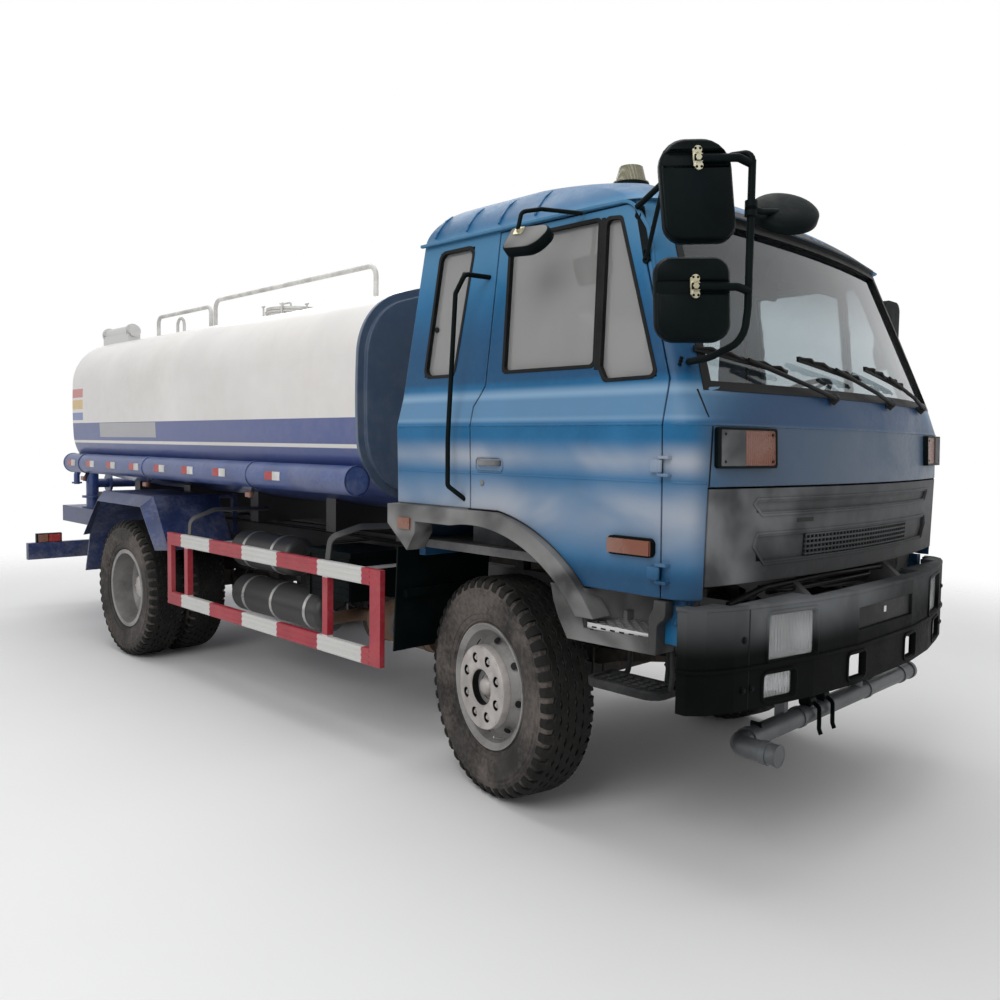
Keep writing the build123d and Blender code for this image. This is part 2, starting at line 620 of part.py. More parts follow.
def door():
    """The right-hand door: the cab's own wall, rebated at its edge, with windows and two hinge sleeves."""
    wall = shell_of(CAB_LEVELS, 0, DOOR_SKIN) & side_prism(DOOR_OUTLINE)
    wall += shell_of(CAB_LEVELS, DOOR_SKIN, CAB_WALL) & side_prism(DOOR_OUTLINE, -DOOR_REBATE)
    wall -= arch_prism(ARCH_RADIUS + CAB_GAP)
    wall -= side_prism(MAIN_WINDOW)
    wall -= side_prism(QUARTER_WINDOW)
    for z in HINGE_HEIGHTS:
        leaf = block(HINGE_X - 45, HINGE_X, -HINGE_Y - 4, -HINGE_Y + 26, z - HINGE_HALF, z + HINGE_HALF)
        leaf &= block(HINGE_X - 45, DOOR_FRONT, -1400, -1000, 0, 3000)
        leaf += block(HINGE_X - 45, HINGE_X, -HINGE_Y - 4, -HINGE_Y + 4, z - HINGE_HALF, z + HINGE_HALF)
        sleeve = Pos(HINGE_X, -HINGE_Y, z) * Cylinder(HINGE_RADIUS, 2 * HINGE_HALF)
        bore = Pos(HINGE_X, -HINGE_Y, z) * Cylinder(HINGE_PIN_RADIUS + RUN_CLEARANCE, 4 * HINGE_HALF)
        wall = wall + (leaf - cab_body(CAB_LEVELS, 3)) + sleeve - bore
    return wall


def pane(levels, cutters):
    """Glass in the middle of the wall, with its edge just clear of the opening."""
    first = (CAB_WALL - GLASS_THICK) / 2
    sheet = shell_of(levels, first, first + GLASS_THICK)
    return [sheet & cutter for cutter in cutters]


def door_glass():
    return pane(CAB_LEVELS, [side_prism(MAIN_WINDOW, -0.4), side_prism(QUARTER_WINDOW, -0.4)])


BACK_HALF_WIDTH = 1060.0
LOWER_CORNER_HALF_WIDTH = 1122.0
GRILLE_TOP = 1518.0
GRILLE_BOTTOM = 1155.0


def cab_side():
    """The right-hand side: rear quarter with its window, the rail over the door and the edge before it."""
    wall = shell_of(CAB_LEVELS, 0, CAB_WALL)
    zone = Pos(0, -SIDE_REACH - 100, 0) * side_zone()
    side = wall & zone
    side -= side_prism(DOOR_OUTLINE, CAB_GAP)
    side -= arch_prism(ARCH_RADIUS + CAB_GAP)
    side -= side_prism(REAR_SIDE_WINDOW)
    return side - block(3000, 3600, -BACK_HALF_WIDTH, 0, 900, 2800)


FRONT_LINE_X = DOOR_FRONT + CAB_GAP - 1
FRONT_LINE_TOP = DOOR_TOP_FRONT - PILLAR_SLOPE * (CAB_LEVELS[-1][0] - DOOR_TOP) + CAB_GAP
FRONT_LINE = ((FRONT_LINE_X, 900.0), (FRONT_LINE_X, BELT), (FRONT_LINE_TOP, CAB_LEVELS[-1][0]),
              (FRONT_LINE_TOP, 2800.0))


def front_zone():
    """Everything ahead of the door's front edge."""
    points = [*FRONT_LINE, (5600.0, 2800.0), (5600.0, 900.0)]
    return side_plate(points, -1500, 1500)


def side_zone():
    """Everything behind the door's front edge, on the right."""
    points = [(3000.0, 900.0), *FRONT_LINE, (3000.0, 2800.0)]
    return side_plate(points, -800, 0)


def windscreen_prism(by=0.0):
    """The windscreen's opening, seen along X."""
    points = [(-1078, 1905), (1078, 1905), (948, 2612), (-948, 2612)]
    face = make_face(Plane.YZ * Polyline(*points, close=True))
    face = offset(face, by, kind=Kind.INTERSECTION) if by else face
    return Pos(4400, 0, 0) * extrude(face, 1200, dir=(1, 0, 0))


def cab_front():
    """The front: screen pillars, header, the panel under the screen and the lower corners."""
    wall = shell_of(CAB_LEVELS, 0, CAB_WALL) & front_zone()
    wall -= windscreen_prism()
    wall -= block(4800, 5600, -LOWER_CORNER_HALF_WIDTH, LOWER_CORNER_HALF_WIDTH, 900, GRILLE_TOP + CAB_GAP)
    hinges = hinge_ears()
    return wall + hinges + other_side(hinges)


def hinge_ears():
    """The right-hand door's pins, each between two ears on the corner before the door."""
    whole = None
    for z in HINGE_HEIGHTS:
        reach = HINGE_HALF + 14
        ears = rod((HINGE_X, -HINGE_Y, z - reach), (HINGE_X, -HINGE_Y, z + reach), HINGE_PIN_RADIUS)
        for low in (z - HINGE_HALF - 15, z + HINGE_HALF + 3):
            x1, y0 = HINGE_X + 40, -HINGE_Y - HINGE_RADIUS
            ear = block(HINGE_X, x1, y0, -HINGE_Y + 40, low, low + 12)
            ears += ear & block(FRONT_LINE_X, 5400, -1400, -1000, 0, 3000) - cab_body(CAB_LEVELS, 3)
            ears += block(HINGE_X - 8, x1, y0, -HINGE_Y + HINGE_RADIUS - 1, low, low + 12)
        whole = ears if whole is None else whole + ears
    return whole


def grille_panel():
    """The plastic panel below, with its recesses."""
    half_width = LOWER_CORNER_HALF_WIDTH - CAB_GAP
    panel = shell_of(CAB_LEVELS, 0, CAB_WALL)
    panel &= block(4800, 5600, -half_width, half_width, GRILLE_BOTTOM, GRILLE_TOP)
    ring = shell_of(CAB_LEVELS, -5, 14)
    for z0, z1, half in ((1425.0, 1465.0, 860.0), (1235.0, 1330.0, 850.0)):
        panel -= ring & block(4900, 5600, -half, half, z0, z1)
    return panel


REAR_WINDOWS = ((-760.0, -60.0), (60.0, 760.0))
REAR_WINDOW_Z = (1960.0, 2460.0)


def back_wall_part(y0, y1, z0, z1, first=0.0, last=CAB_WALL):
    return shell_of(CAB_LEVELS, first, last) & block(3300, 3700, y0, y1, z0, z1)


def cab_back():
    wall = shell_of(CAB_LEVELS, 0, CAB_WALL) & block(3300, 3600, -BACK_HALF_WIDTH, BACK_HALF_WIDTH, 900, 2800)
    for y0, y1 in REAR_WINDOWS:
        wall -= block(3300, 3600, y0, y1, *REAR_WINDOW_Z)
    return wall


HUMP_HALF_WIDTH = 390.0
HUMP_X = (3560.0, 4930.0)
HUMP_TOP = 1500.0
HUMP_WALL = 25.0
FLOOR_THICK = 40.0


FLARE_OUT = 1232.0
FLARE_IN = 1120.0
FLARE_BAND = 78.0
FLARE_FRONT = 4760.0
FLARE_REAR = 3345.0


def cab_floor():
    """The floor, the hump over the engine and the two lugs on the pivot."""
    inside = cab_body(CAB_LEVELS, CAB_WALL + 0.5)
    floor = inside & block(3000, 5600, -1300, 1300, FLOOR_BOTTOM, FLOOR_BOTTOM + FLOOR_THICK)
    for side in (-1, 1):
        floor -= block(3000, FLARE_FRONT + 2, side * (FLARE_IN - SEAT_GAP), side * 1400, 1000, ARCH_TOP)
    x0, x1 = HUMP_X
    hump = block(x0, x1, -HUMP_HALF_WIDTH, HUMP_HALF_WIDTH, FLOOR_BOTTOM, HUMP_TOP)
    hollow = block(x0 + HUMP_WALL, x1 - HUMP_WALL, -HUMP_HALF_WIDTH + HUMP_WALL, HUMP_HALF_WIDTH - HUMP_WALL,
                   FLOOR_BOTTOM - 50, HUMP_TOP - HUMP_WALL)
    body = floor + hump - hollow
    lug = side_plate([(4800, FLOOR_BOTTOM + 20), (5060, FLOOR_BOTTOM + 20), (PIVOT_X + 34, PIVOT_Z + 34),
                      (PIVOT_X + 34, PIVOT_Z - 34), (PIVOT_X - 34, PIVOT_Z - 34), (4800, FLOOR_BOTTOM - 60)],
                     -FRAME_HALF_WIDTH - 58, -FRAME_HALF_WIDTH - 14)
    lug -= bar_y(PIVOT_X, PIVOT_Z, PIVOT_PIN_RADIUS + RUN_CLEARANCE, -700, -300)
    return body + lug + other_side(lug)


def cab_roof():
    outer = loft([plan_face(level) for level in ROOF_LEVELS], ruled=True)
    inner_levels = [(level[0] - (0 if i == 0 else 28), *level[1:]) for i, level in enumerate(ROOF_LEVELS)]
    inner = loft([plan_face(level, 40) for level in inner_levels], ruled=True)
    return outer - inner


# ---------------------------------------------------------------- arches, steps
def arch_flare():
    """The right-hand plastic flare: a band along the arch, from the rear tip to the step."""
    y0, y1, x = -FLARE_OUT, -FLARE_IN, FRONT_AXLE_X
    outer = rod((x, y0, AXLE_Z), (x, y1, AXLE_Z), ARCH_RADIUS)
    outer += block(FLARE_REAR, x, y0, y1, AXLE_Z, AXLE_Z + ARCH_RADIUS)
    outer &= block(FLARE_REAR, FLARE_FRONT, y0 - 1, y1 + 1, 985, ARCH_TOP)
    radius = ARCH_RADIUS - FLARE_BAND
    inner = rod((x, y0 - 5, AXLE_Z), (x, y1 + 5, AXLE_Z), radius)
    inner += block(FLARE_REAR - 45, x, y0 - 5, y1 + 5, 500, AXLE_Z + radius - 12)
    slope = side_plate([(FLARE_REAR, 900), (FLARE_REAR, 1270), (3480, 1150), (3480, 900)], y0 - 5, y1 + 5)
    tail = side_plate([(FLARE_REAR, ARCH_TOP), (FLARE_REAR, 1275), (3500, 1150), (3560, 1240),
                       (3560, ARCH_TOP)], y0, y1)
    lug = block(3400, DOOR_REAR_LOW - 25, y1 - 75, y1 - 42, ARCH_TOP - 8, ARCH_TOP + CAB_GAP - SEAT_GAP)
    return outer - inner - slope + tail + lug


STEP_FRONT = 5000.0
STEP_REAR = 4560.0
STEP_OUT = 1205.0
STEP_DEPTH = 240.0
STEP_Z = 975.0              # top of the upper step
LOWER_STEP_Z = 700.0        # underside of the lower one


def step_surround():
    """The surround of the upper step with its tread, and the lower bar step on its hangers."""
    low, inner = STEP_Z - 60, -STEP_OUT + STEP_DEPTH
    body = block(STEP_REAR, STEP_FRONT, -STEP_OUT, inner, low, STEP_Z)
    body += block(STEP_REAR + 60, STEP_FRONT, inner - 25, inner, low, FLOOR_BOTTOM - SEAT_GAP)
    body += block(STEP_FRONT - 30, STEP_FRONT, -STEP_OUT, inner, low, CAB_BOTTOM - SEAT_GAP)
    for x in (4680.0, 4900.0):
        body += block(x - 16, x + 16, inner - 40, inner - 25, LOWER_STEP_Z, low + 10)
    body += block(4592, 4985, -STEP_OUT + 15, inner - 25, LOWER_STEP_Z, LOWER_STEP_Z + 32)
    return body


# ---------------------------------------------------------------- bumper, spray bar, lamps
# Bumper outline in plan, from the middle to the rear of its end
BUMPER_PLAN = (   # back from the front, distance from the middle, X and Y shares of an inset
    (0.0, 0.0, 1.0, 0.0),
    (0.0, 290.0, 1.0, 0.05),
    (36.0, 610.0, 1.0, 0.15),
    (92.0, 885.0, 1.0, 0.28),
    (132.0, 1050.0, 1.0, 0.45),
    (182.0, BUMPER_HALF_WIDTH - 50.0, 0.85, 0.75),
    (232.0, BUMPER_HALF_WIDTH, 0.40, 1.0),
    (275.0, BUMPER_HALF_WIDTH, 0.0, 1.0),
)
# Openings in the bumper, on both sides: inner Y, outer Y, low Z, high Z
LAMP_OPENINGS = (
    (600.0, 876.0, 862.0, 1040.0),
    (724.0, 896.0, 717.0, 813.0),
)
TOW_OPENING = (218.0, 354.0, 718.0, 818.0)
PLATE_HALF_WIDTH = 285.0
PLATE_Z = (915.0, 1010.0)


def bumper_outline(inset):
    """The bumper's plan outline, drawn in by a distance."""
    right = [(BUMPER_FRONT - back - inset * along, -half + inset * across)
             for back, half, along, across in BUMPER_PLAN]
    left = [(x, -y) for x, y in reversed(right[1:])]
    return right[::-1] + left[::-1]


def bumper_solid(inset, z0, z1):
    """A slab that fills the bumper's outline."""
    face = make_face(Plane.XY * Polyline(*bumper_outline(inset), close=True))
    return Pos(0, 0, z0) * extrude(face, z1 - z0, dir=(0, 0, 1))


def bumper():
    body = bumper_solid(0, BUMPER_BOTTOM, BUMPER_TOP)
    body -= bumper_solid(BUMPER_WALL, BUMPER_BOTTOM - 1, BUMPER_TOP - BUMPER_WALL)
    for back, half in ((165, BUMPER_HALF_WIDTH - 180), (240, BUMPER_HALF_WIDTH - 60)):
        body -= block(4900, BUMPER_FRONT - back, -half, half, BUMPER_BOTTOM - 1, BUMPER_TOP + 1)
    body -= block(4900, BUMPER_FRONT - BUMPER_LEDGE, -560, 560, BUMPER_BOTTOM - 1, BUMPER_TOP + 1)
    for near, far, low, high in (*LAMP_OPENINGS, TOW_OPENING):
        for side in (-1, 1):
            body -= block(4900, 5600, side * near, side * far, low, high)
    body -= block(BUMPER_FRONT - 12, 5600, -PLATE_HALF_WIDTH, PLATE_HALF_WIDTH, *PLATE_Z)
    for side in (-1, 1):
        end = FRAME_FRONT - CAB_DATUM
        body += block(end - 60, BUMPER_FRONT - BUMPER_WALL - 12, side * 450, side * 500, 850, 905)
        body += block(end - 60, end, side * (FRAME_HALF_WIDTH + SEAT_GAP), side * 500, 850, 905)
    return body


SPRAY_X = 5105.0
SPRAY_Z = 505.0
SPRAY_HALF = 860.0
SPRAY_RADIUS = 42.0
SPRAY_OUTLET = 190.0
SPRAY_BEND = 62.0


def spray_bar():
    """The front spray pipe, forward at its right end, with its hangers and the two feeds on its top."""
    tip = SPRAY_X + SPRAY_OUTLET
    pipe = bent_bar([(tip, -SPRAY_HALF, SPRAY_Z), (SPRAY_X, -SPRAY_HALF, SPRAY_Z),
                     (SPRAY_X, SPRAY_HALF + SPRAY_RADIUS, SPRAY_Z)], SPRAY_BEND, SPRAY_RADIUS)
    for side in (-1, 1):
        out = side * (FRAME_HALF_WIDTH + SEAT_GAP)
        hanger = block(SPRAY_X - 45, SPRAY_X, out, side * (FRAME_HALF_WIDTH + 34), SPRAY_Z, FRAME_BOTTOM + 60)
        pipe += hanger
        pipe += rod((SPRAY_X, side * 250, SPRAY_Z), (SPRAY_X, side * 250, SPRAY_Z + 62), 28)
    return pipe


def lamps():
    """Head and fog lamps in the bumper."""
    pieces = []
    back = BUMPER_FRONT - 20
    gap = SEAT_GAP
    for near, far, low, high in LAMP_OPENINGS:
        box = block(back - 190, back + 20, near + gap, far - gap, low + gap, high - gap)
        box &= bumper_solid(14, BUMPER_BOTTOM, BUMPER_TOP) & block(5000, 5600, 0, 1400, 0, 1300)
        pieces += [box, other_side(box)]
    return pieces


BEACON_X = 4290.0
BEACON_Y = -545.0


def cab_lamps():
    """Turn lamps at the front corners, lamps on the flares and on the side, and the roof beacon."""
    pieces = []
    shape = shell_of(CAB_LEVELS, -22, -SEAT_GAP) & block(4980, 5600, 780, 1092, 1605, 1738)
    tip = block(3440, 3530, -FLARE_OUT - 12, -FLARE_OUT - SEAT_GAP, 1255, 1310)
    pieces += [shape, other_side(shape), tip, other_side(tip)]
    roof_z = ROOF_LEVELS[-1][0] + SEAT_GAP
    beacon = Pos(BEACON_X, BEACON_Y, roof_z + 10) * Cylinder(85, 60)
    beacon += Pos(BEACON_X, BEACON_Y, roof_z + 40 + 36) * Cone(74, 55, 72)
    pieces.append(beacon - cab_body(ROOF_LEVELS, -SEAT_GAP))
    return pieces


def door_lamp():
    """The right-hand side lamp, low on the door."""
    lamp = block(4737, 4935, -1232, -1100, 1262, 1318)
    return lamp - cab_body(CAB_LEVELS, -SEAT_GAP)


# ---------------------------------------------------------------- cab fittings
def seats():
    """Driver's seat on the left and a double seat on the right: cushion, back and base."""
    pieces = []
    floor = FLOOR_BOTTOM + FLOOR_THICK + SEAT_GAP
    for y0, y1 in ((-1090.0, -HUMP_HALF_WIDTH - 15), (HUMP_HALF_WIDTH + 15, 1010.0)):
        base = block(3760, 4130, y0 + 60, y1 - 60, floor, 1440)
        cushion = block(3720, 4220, y0, y1, 1440, 1560)
        back = side_plate([(3640, 1500), (3760, 1500), (3660, 2150), (3560, 2150)], y0, y1)
        pieces.append(base + cushion + back)
    return pieces


DASH_REAR = 4760.0


def dashboard():
    inside = cab_body(CAB_LEVELS, CAB_WALL + SEAT_GAP)
    lump = side_plate([(DASH_REAR, 1560), (DASH_REAR + 30, 1830), (DASH_REAR + 130, 1880), (5300, 1880),
                       (5300, 1560)], -1150, 1150)
    return lump & inside & block(4000, 5600, -1110, 1110, 1500, 1890)


STEERING_WHEEL_RADIUS = 235.0
STEERING_CENTRE = (4500.0, 640.0, 1925.0)
COLUMN_TILT_DEG = 28.0      # the column leans forward from the vertical
SHAFT_TOP_RADIUS = 20.0


def steering_wheel():
    """A wheel of two spokes, its hub and the column down into the dashboard's shroud."""
    ring = Torus(STEERING_WHEEL_RADIUS, 14)
    hub = Pos(0, 0, -25) * Cylinder(45, 50)
    spokes = block(-STEERING_WHEEL_RADIUS, STEERING_WHEEL_RADIUS, -18, 18, -16, -4)
    column = Pos(0, 0, -260) * Cylinder(SHAFT_TOP_RADIUS, 440)
    whole = ring + hub + spokes + column
    return Pos(*STEERING_CENTRE) * Rot(0, -COLUMN_TILT_DEG, 0) * whole


def column_sleeve():
    """The fixed tube round the steering shaft, standing on the cab floor."""
    place = Pos(*STEERING_CENTRE) * Rot(0, -COLUMN_TILT_DEG, 0)
    sleeve = place * Pos(0, 0, -500) * Cylinder(34, 780)
    bore = place * Pos(0, 0, -290) * Cylinder(SHAFT_TOP_RADIUS + RUN_CLEARANCE, 500)
    low = FLOOR_BOTTOM + FLOOR_THICK + SEAT_GAP
    return (sleeve - bore) & block(4000, 5400, 300, 1100, low, 2100)


MIRROR_TUBE = (5300.0, -1200.0)
MIRROR_TUBE_RADIUS = 13.0
# Mirrors on the tube: low Z, high Z, width
MIRRORS = ((2365.0, 2705.0, 250.0), (2030.0, 2310.0, 262.0))
MIRROR_ARM = 62.0           # from the tube to a mirror's edge
MIRROR_TURN_DEG = 45.0
MIRROR_THICK = 62.0
WIDEST = max(width for _, _, width in MIRRORS)
MIRROR_REACH = (-MIRROR_TUBE[1]
                + (WIDEST + MIRROR_ARM + MIRROR_THICK / 2) * math.sin(math.radians(MIRROR_TURN_DEG)))


def mirror_frame():
    """The right-hand mirrors with their tube, arms and bracket."""
    x, y = MIRROR_TUBE
    low_anchor = (5000.0, -1110.0, 1950.0)
    top_anchor = (4785.0, -985.0, 2600.0)
    tube = bent_bar([low_anchor, (5075, -1225, 1950), (x - 70, y, 1980), (x, y, 2050), (x, y, 2650),
                     (x - 90, y - 6, 2672), (4900, -1150, 2645), top_anchor], 28, MIRROR_TUBE_RADIUS)
    tube -= cab_body(CAB_LEVELS, -SEAT_GAP)
    bodies = []
    turn = math.radians(MIRROR_TURN_DEG)
    for z0, z1, width in MIRRORS:
        half = width / 2
        cx, cy = x - (half + MIRROR_ARM) * math.cos(turn), y - (half + MIRROR_ARM) * math.sin(turn)
        head = Box(width, MIRROR_THICK, z1 - z0)
        head = fillet(head.edges().filter_by(Axis.Y), 55)
        arm = Pos(half + 30, 0, (z1 - z0) * 0.22) * Rot(0, 90, 0) * Cylinder(11, 130)
        bodies.append(Pos(cx, cy, (z0 + z1) / 2) * Rot(0, 0, MIRROR_TURN_DEG) * (head + arm))
    spot = (ROUND_MIRROR_X, -ROUND_MIRROR_Y, ROUND_MIRROR_Z)
    round_head = Plane(origin=spot, z_dir=ROUND_MIRROR_FACING)
    round_head = round_head * Cylinder(ROUND_MIRROR_RADIUS, ROUND_MIRROR_THICK)
    link = rod((x, y, ROUND_MIRROR_Z), spot, 10)
    return tube + bodies[0] + bodies[1] + link + round_head


LEFT_TUBE_Y = 1250.0
LEFT_MIRROR_WIDTH = 210.0


def left_mirror():
    """The left-hand mirror on its bent tube, carried by the left door's window frame."""
    low_anchor = (4760.0, 1150.0, 2120.0)
    top_anchor = (4660.0, 1085.0, 2560.0)
    y = LEFT_TUBE_Y
    tube = bent_bar([low_anchor, (4730, y, 2120), (4700, y, 2560), top_anchor], 26, MIRROR_TUBE_RADIUS)
    tube -= cab_body(CAB_LEVELS, -SEAT_GAP)
    head = Box(MIRROR_THICK, LEFT_MIRROR_WIDTH, 390)
    head = fillet(head.edges().filter_by(Axis.X), 55)
    mid_y = MIRROR_REACH - LEFT_MIRROR_WIDTH / 2
    arm = bar_y(4715, 2340, 10, y, mid_y)
    return tube + Pos(4735, mid_y, 2340) * head + arm


def grab_handle():
    """The tall handle behind the right-hand door."""
    y = -1262.0
    path = [(3935, -1108, 2430), (3908, y + 24, 2430), (3872, y, 2345), (3830, y, 1700), (3832, y, 1480),
            (3880, -1196, 1418)]
    return bent_bar(path, 24, 11) - cab_body(CAB_LEVELS, -SEAT_GAP)


# ---------------------------------------------------------------- side and rear fittings
GUARD_Y = 1178.0
GUARD_X = (690.0, CAB_DATUM + 3215.0)
GUARD_Z = (498.0, 1012.0)
GUARD_RAIL = 88.0
GUARD_THICK = 32.0


def side_guard():
    """The right-hand guard: two rails, two end posts, two inner posts and its arms to the rail."""
    y0, y1 = -GUARD_Y, -GUARD_Y + GUARD_THICK
    (x0, x1), (z0, z1) = GUARD_X, GUARD_Z
    body = block(x0, x1, y0, y1, z1 - GUARD_RAIL, z1) + block(x0, x1, y0, y1, z0, z0 + GUARD_RAIL)
    for a, b in ((x0, x0 + 60), (x1 - 90, x1)):
        body += block(a, b, y0, y1, z0, z1)
    for x in (x0 + 285, x1 - 515):
        body += block(x - 25, x + 25, y0 + 4, y1 + 12, z0 + 5, z1 - 5)
        body += block(x - 25, x + 25, y1 - 2, -FRAME_HALF_WIDTH - SEAT_GAP, z1 - 75, z1 - 63)
        body += block(x - 25, x + 25, -FRAME_HALF_WIDTH - 12 - SEAT_GAP, -FRAME_HALF_WIDTH - SEAT_GAP,
                      FRAME_TOP - 130, FRAME_TOP - 10)
    return body


MUDGUARD_Z = 1252.0
MUDGUARD_LOW = 872.0
MUDGUARD_X = (-870.0, -555.0, 400.0, 655.0)
MUDGUARD_OUT = 1228.0
MUDGUARD_IN = 640.0
MUDGUARD_WALL = 5.0
LIP = 75.0
FLAP_LOW = 548.0


def guard_line(drop, wall):
    """The mudguard's line, as a closed strip."""
    a, b, c, d = MUDGUARD_X
    top = MUDGUARD_Z - drop
    tight = drop * 0.75
    upper = [(a + tight, MUDGUARD_LOW), (b + tight, top), (c - tight, top), (d - tight, MUDGUARD_LOW)]
    lower = [(d - tight - 1.3 * wall, MUDGUARD_LOW), (c - tight - 0.5 * wall, top - wall),
             (b + tight + 0.5 * wall, top - wall), (a + tight + 1.3 * wall, MUDGUARD_LOW)]
    return upper + lower


def mudguard():
    """The right-hand rear mudguard with its bent outer edge, the flap behind and its two stays."""
    main = side_plate(guard_line(0, MUDGUARD_WALL), -MUDGUARD_OUT + LIP, -MUDGUARD_IN)
    inner_face = make_face(Plane.XZ * Polyline(*guard_line(0, MUDGUARD_WALL), close=True))
    outer_face = make_face(Plane.XZ * Polyline(*guard_line(LIP, MUDGUARD_WALL), close=True))
    lip = loft([Pos(0, -MUDGUARD_OUT + LIP, 0) * inner_face, Pos(0, -MUDGUARD_OUT, 0) * outer_face],
               ruled=True)
    tail = MUDGUARD_X[0]
    flap = side_plate([(tail - 4, MUDGUARD_LOW + 8), (tail + 10, MUDGUARD_LOW + 8), (tail - 105, FLAP_LOW),
                       (tail - 117, FLAP_LOW)], -MUDGUARD_OUT + LIP, -MUDGUARD_IN)
    body = main + lip + flap
    for x in (-420.0, 300.0):
        body += bar_y(x, MUDGUARD_Z - MUDGUARD_WALL - 15, 18, -MUDGUARD_OUT + 90, -FRAME_HALF_WIDTH - 30)
        body += block(x - 18, x + 18, -FRAME_HALF_WIDTH - 40, -FRAME_HALF_WIDTH - SEAT_GAP, FRAME_TOP - 60,
                      MUDGUARD_Z - MUDGUARD_WALL)
    return body


def front_flap():
    """The black inner guard behind the right front wheel."""
    sheet = side_plate([(3318, 1145), (3328, 1145), (3300, 600), (3290, 600)], -1150, -500)
    stay = block(3309, 3339, -1100, -FRAME_HALF_WIDTH - SEAT_GAP, 880, 920)
    return sheet + stay


# The muffler, which the battery box and the air cylinders are set out from
EXHAUST_X = CAB_DATUM + 2620.0
EXHAUST_Y = -700.0
EXHAUST_Z = 620.0
EXHAUST_RADIUS = 125.0
EXHAUST_LENGTH = 560.0

BATTERY_X = (EXHAUST_X - 500.0, EXHAUST_X - 60.0)
BATTERY_ARM_INSET = 80.0

# Air cylinders on the right: X start, X end, Z of the middle, radius
AIR_TANKS = ((1050.0, EXHAUST_X - 820.0, 905.0, 130.0), (1060.0, EXHAUST_X - 440.0, 590.0, 130.0))
AIR_TANK_Y = -760.0
AIR_ARMS = (AIR_TANKS[0][0] + 200.0, AIR_TANKS[0][1] - 180.0)


def air_tanks():
    """The air cylinders with the arms that hang them on the right rail."""
    body = None
    for x0, x1, z, radius in AIR_TANKS:
        can = rod((x0, AIR_TANK_Y, z), (x1, AIR_TANK_Y, z), radius)
        can = fillet(can.edges(), 45)
        body = can if body is None else body + can
    for x in AIR_ARMS:
        body += block(x - 25, x + 25, AIR_TANK_Y + 80, -FRAME_HALF_WIDTH - SEAT_GAP, 880, 920)
        body += block(x - 25, x + 25, AIR_TANK_Y + 90, AIR_TANK_Y + 140, 590, 900)
    return body


def battery_box():
    """The battery box with its arm to the right rail."""
    x0, x1 = BATTERY_X
    box = block(x0, x1, -900, -520, 720, 1010)
    return box + block(x0 + BATTERY_ARM_INSET, x1 - BATTERY_ARM_INSET, -522, -FRAME_HALF_WIDTH - SEAT_GAP,
                       780, 960)


def fuel_tank():
    """The fuel tank on the left with its two straps' arms."""
    can = block(1500, 2450, 500, 1010, 560, 960)
    can = fillet(can.edges().filter_by(Axis.X), 70)
    for x in (1700.0, 2250.0):
        can += block(x - 30, x + 30, FRAME_HALF_WIDTH + SEAT_GAP, 560, 780, 940)
    return can


def exhaust():
    """The muffler beside the frame's right rail with its tail pipe and a hanger."""
    x0, x1, y, z = EXHAUST_X, EXHAUST_X + EXHAUST_LENGTH, EXHAUST_Y, EXHAUST_Z
    can = rod((x0, y, z), (x1, y, z), EXHAUST_RADIUS)
    tail = bent_bar([(x0 + 5, y, z), (x0 - 170, y, z), (x0 - 170, y - 300, z)], 90, 38)
    arm_z = z + EXHAUST_RADIUS
    arm = block(x0 + 240, x0 + 280, y, -FRAME_HALF_WIDTH - SEAT_GAP, arm_z + 45, arm_z + 85)
    arm += block(x0 + 240, x0 + 280, y - 20, y + 20, arm_z - 15, arm_z + 85)
    inlet = rod((x1 - 10, y, z), (x1 + 60, y, z), 38)
    return can + tail + arm + inlet


PLATFORM_REAR = -2280.0
PLATFORM_HALF_WIDTH = 900.0
PLATFORM_THICK = 40.0
PUMP_X = -1800.0
RISER_Y = 790.0


def rear_platform():
    """The work platform on the frame's end, and the rear bar on its two drop arms."""
    z0 = FRAME_TOP + SEAT_GAP
    half = PLATFORM_HALF_WIDTH
    deck = block(PLATFORM_REAR, TANK_REAR - 90, -half, half, z0, z0 + PLATFORM_THICK)
    for side in (-1, 1):
        deck += block(PLATFORM_REAR, TANK_REAR - 90, side * half, side * (half - 8), z0 - 110,
                      z0 + PLATFORM_THICK)
    deck += block(PLATFORM_REAR, PLATFORM_REAR + 8, -half, half, z0 - 60, z0 + 1)
    deck -= block(FRAME_REAR - 60, TANK_REAR, -FRAME_HALF_WIDTH - 1, FRAME_HALF_WIDTH + 1, 0, z0)
    bar = block(REAR_BAR_X, REAR_BAR_X + 60, -REAR_BAR_HALF_WIDTH, REAR_BAR_HALF_WIDTH, 500, 660)
    for side in (-1, 1):
        y0 = side * (FRAME_HALF_WIDTH + SEAT_GAP)
        bar += block(REAR_BAR_X + 55, REAR_BAR_X + 260, y0, side * (FRAME_HALF_WIDTH + 30), 520,
                     FRAME_BOTTOM + 150)
    return [deck, bar]


def pump():
    """The pump on the platform, its pipework and the riser on each side."""
    z0 = FRAME_TOP + PLATFORM_THICK + 2 * SEAT_GAP
    mid = z0 + 230
    base = block(PUMP_X - 180, PUMP_X + 180, -160, 160, z0, z0 + 60)
    body = base + rod((PUMP_X - 160, 0, mid), (PUMP_X + 160, 0, mid), 180)
    for side in (-1, 1):
        y = side * RISER_Y
        body += rod((PUMP_X, side * 140, mid), (PUMP_X, y, mid), 42)
        body += rod((PUMP_X, y, z0), (PUMP_X, y, z0 + 560), 55)
        body += rod((PUMP_X, y, z0), (PUMP_X, y, z0 + 14), 90)
        body += rod((PUMP_X, y, z0 + 500), (PUMP_X + 240, y, z0 + 500), 42)
    body += rod((PUMP_X + 150, 0, mid), (TANK_REAR - SEAT_GAP, 0, mid), 60)
    return body


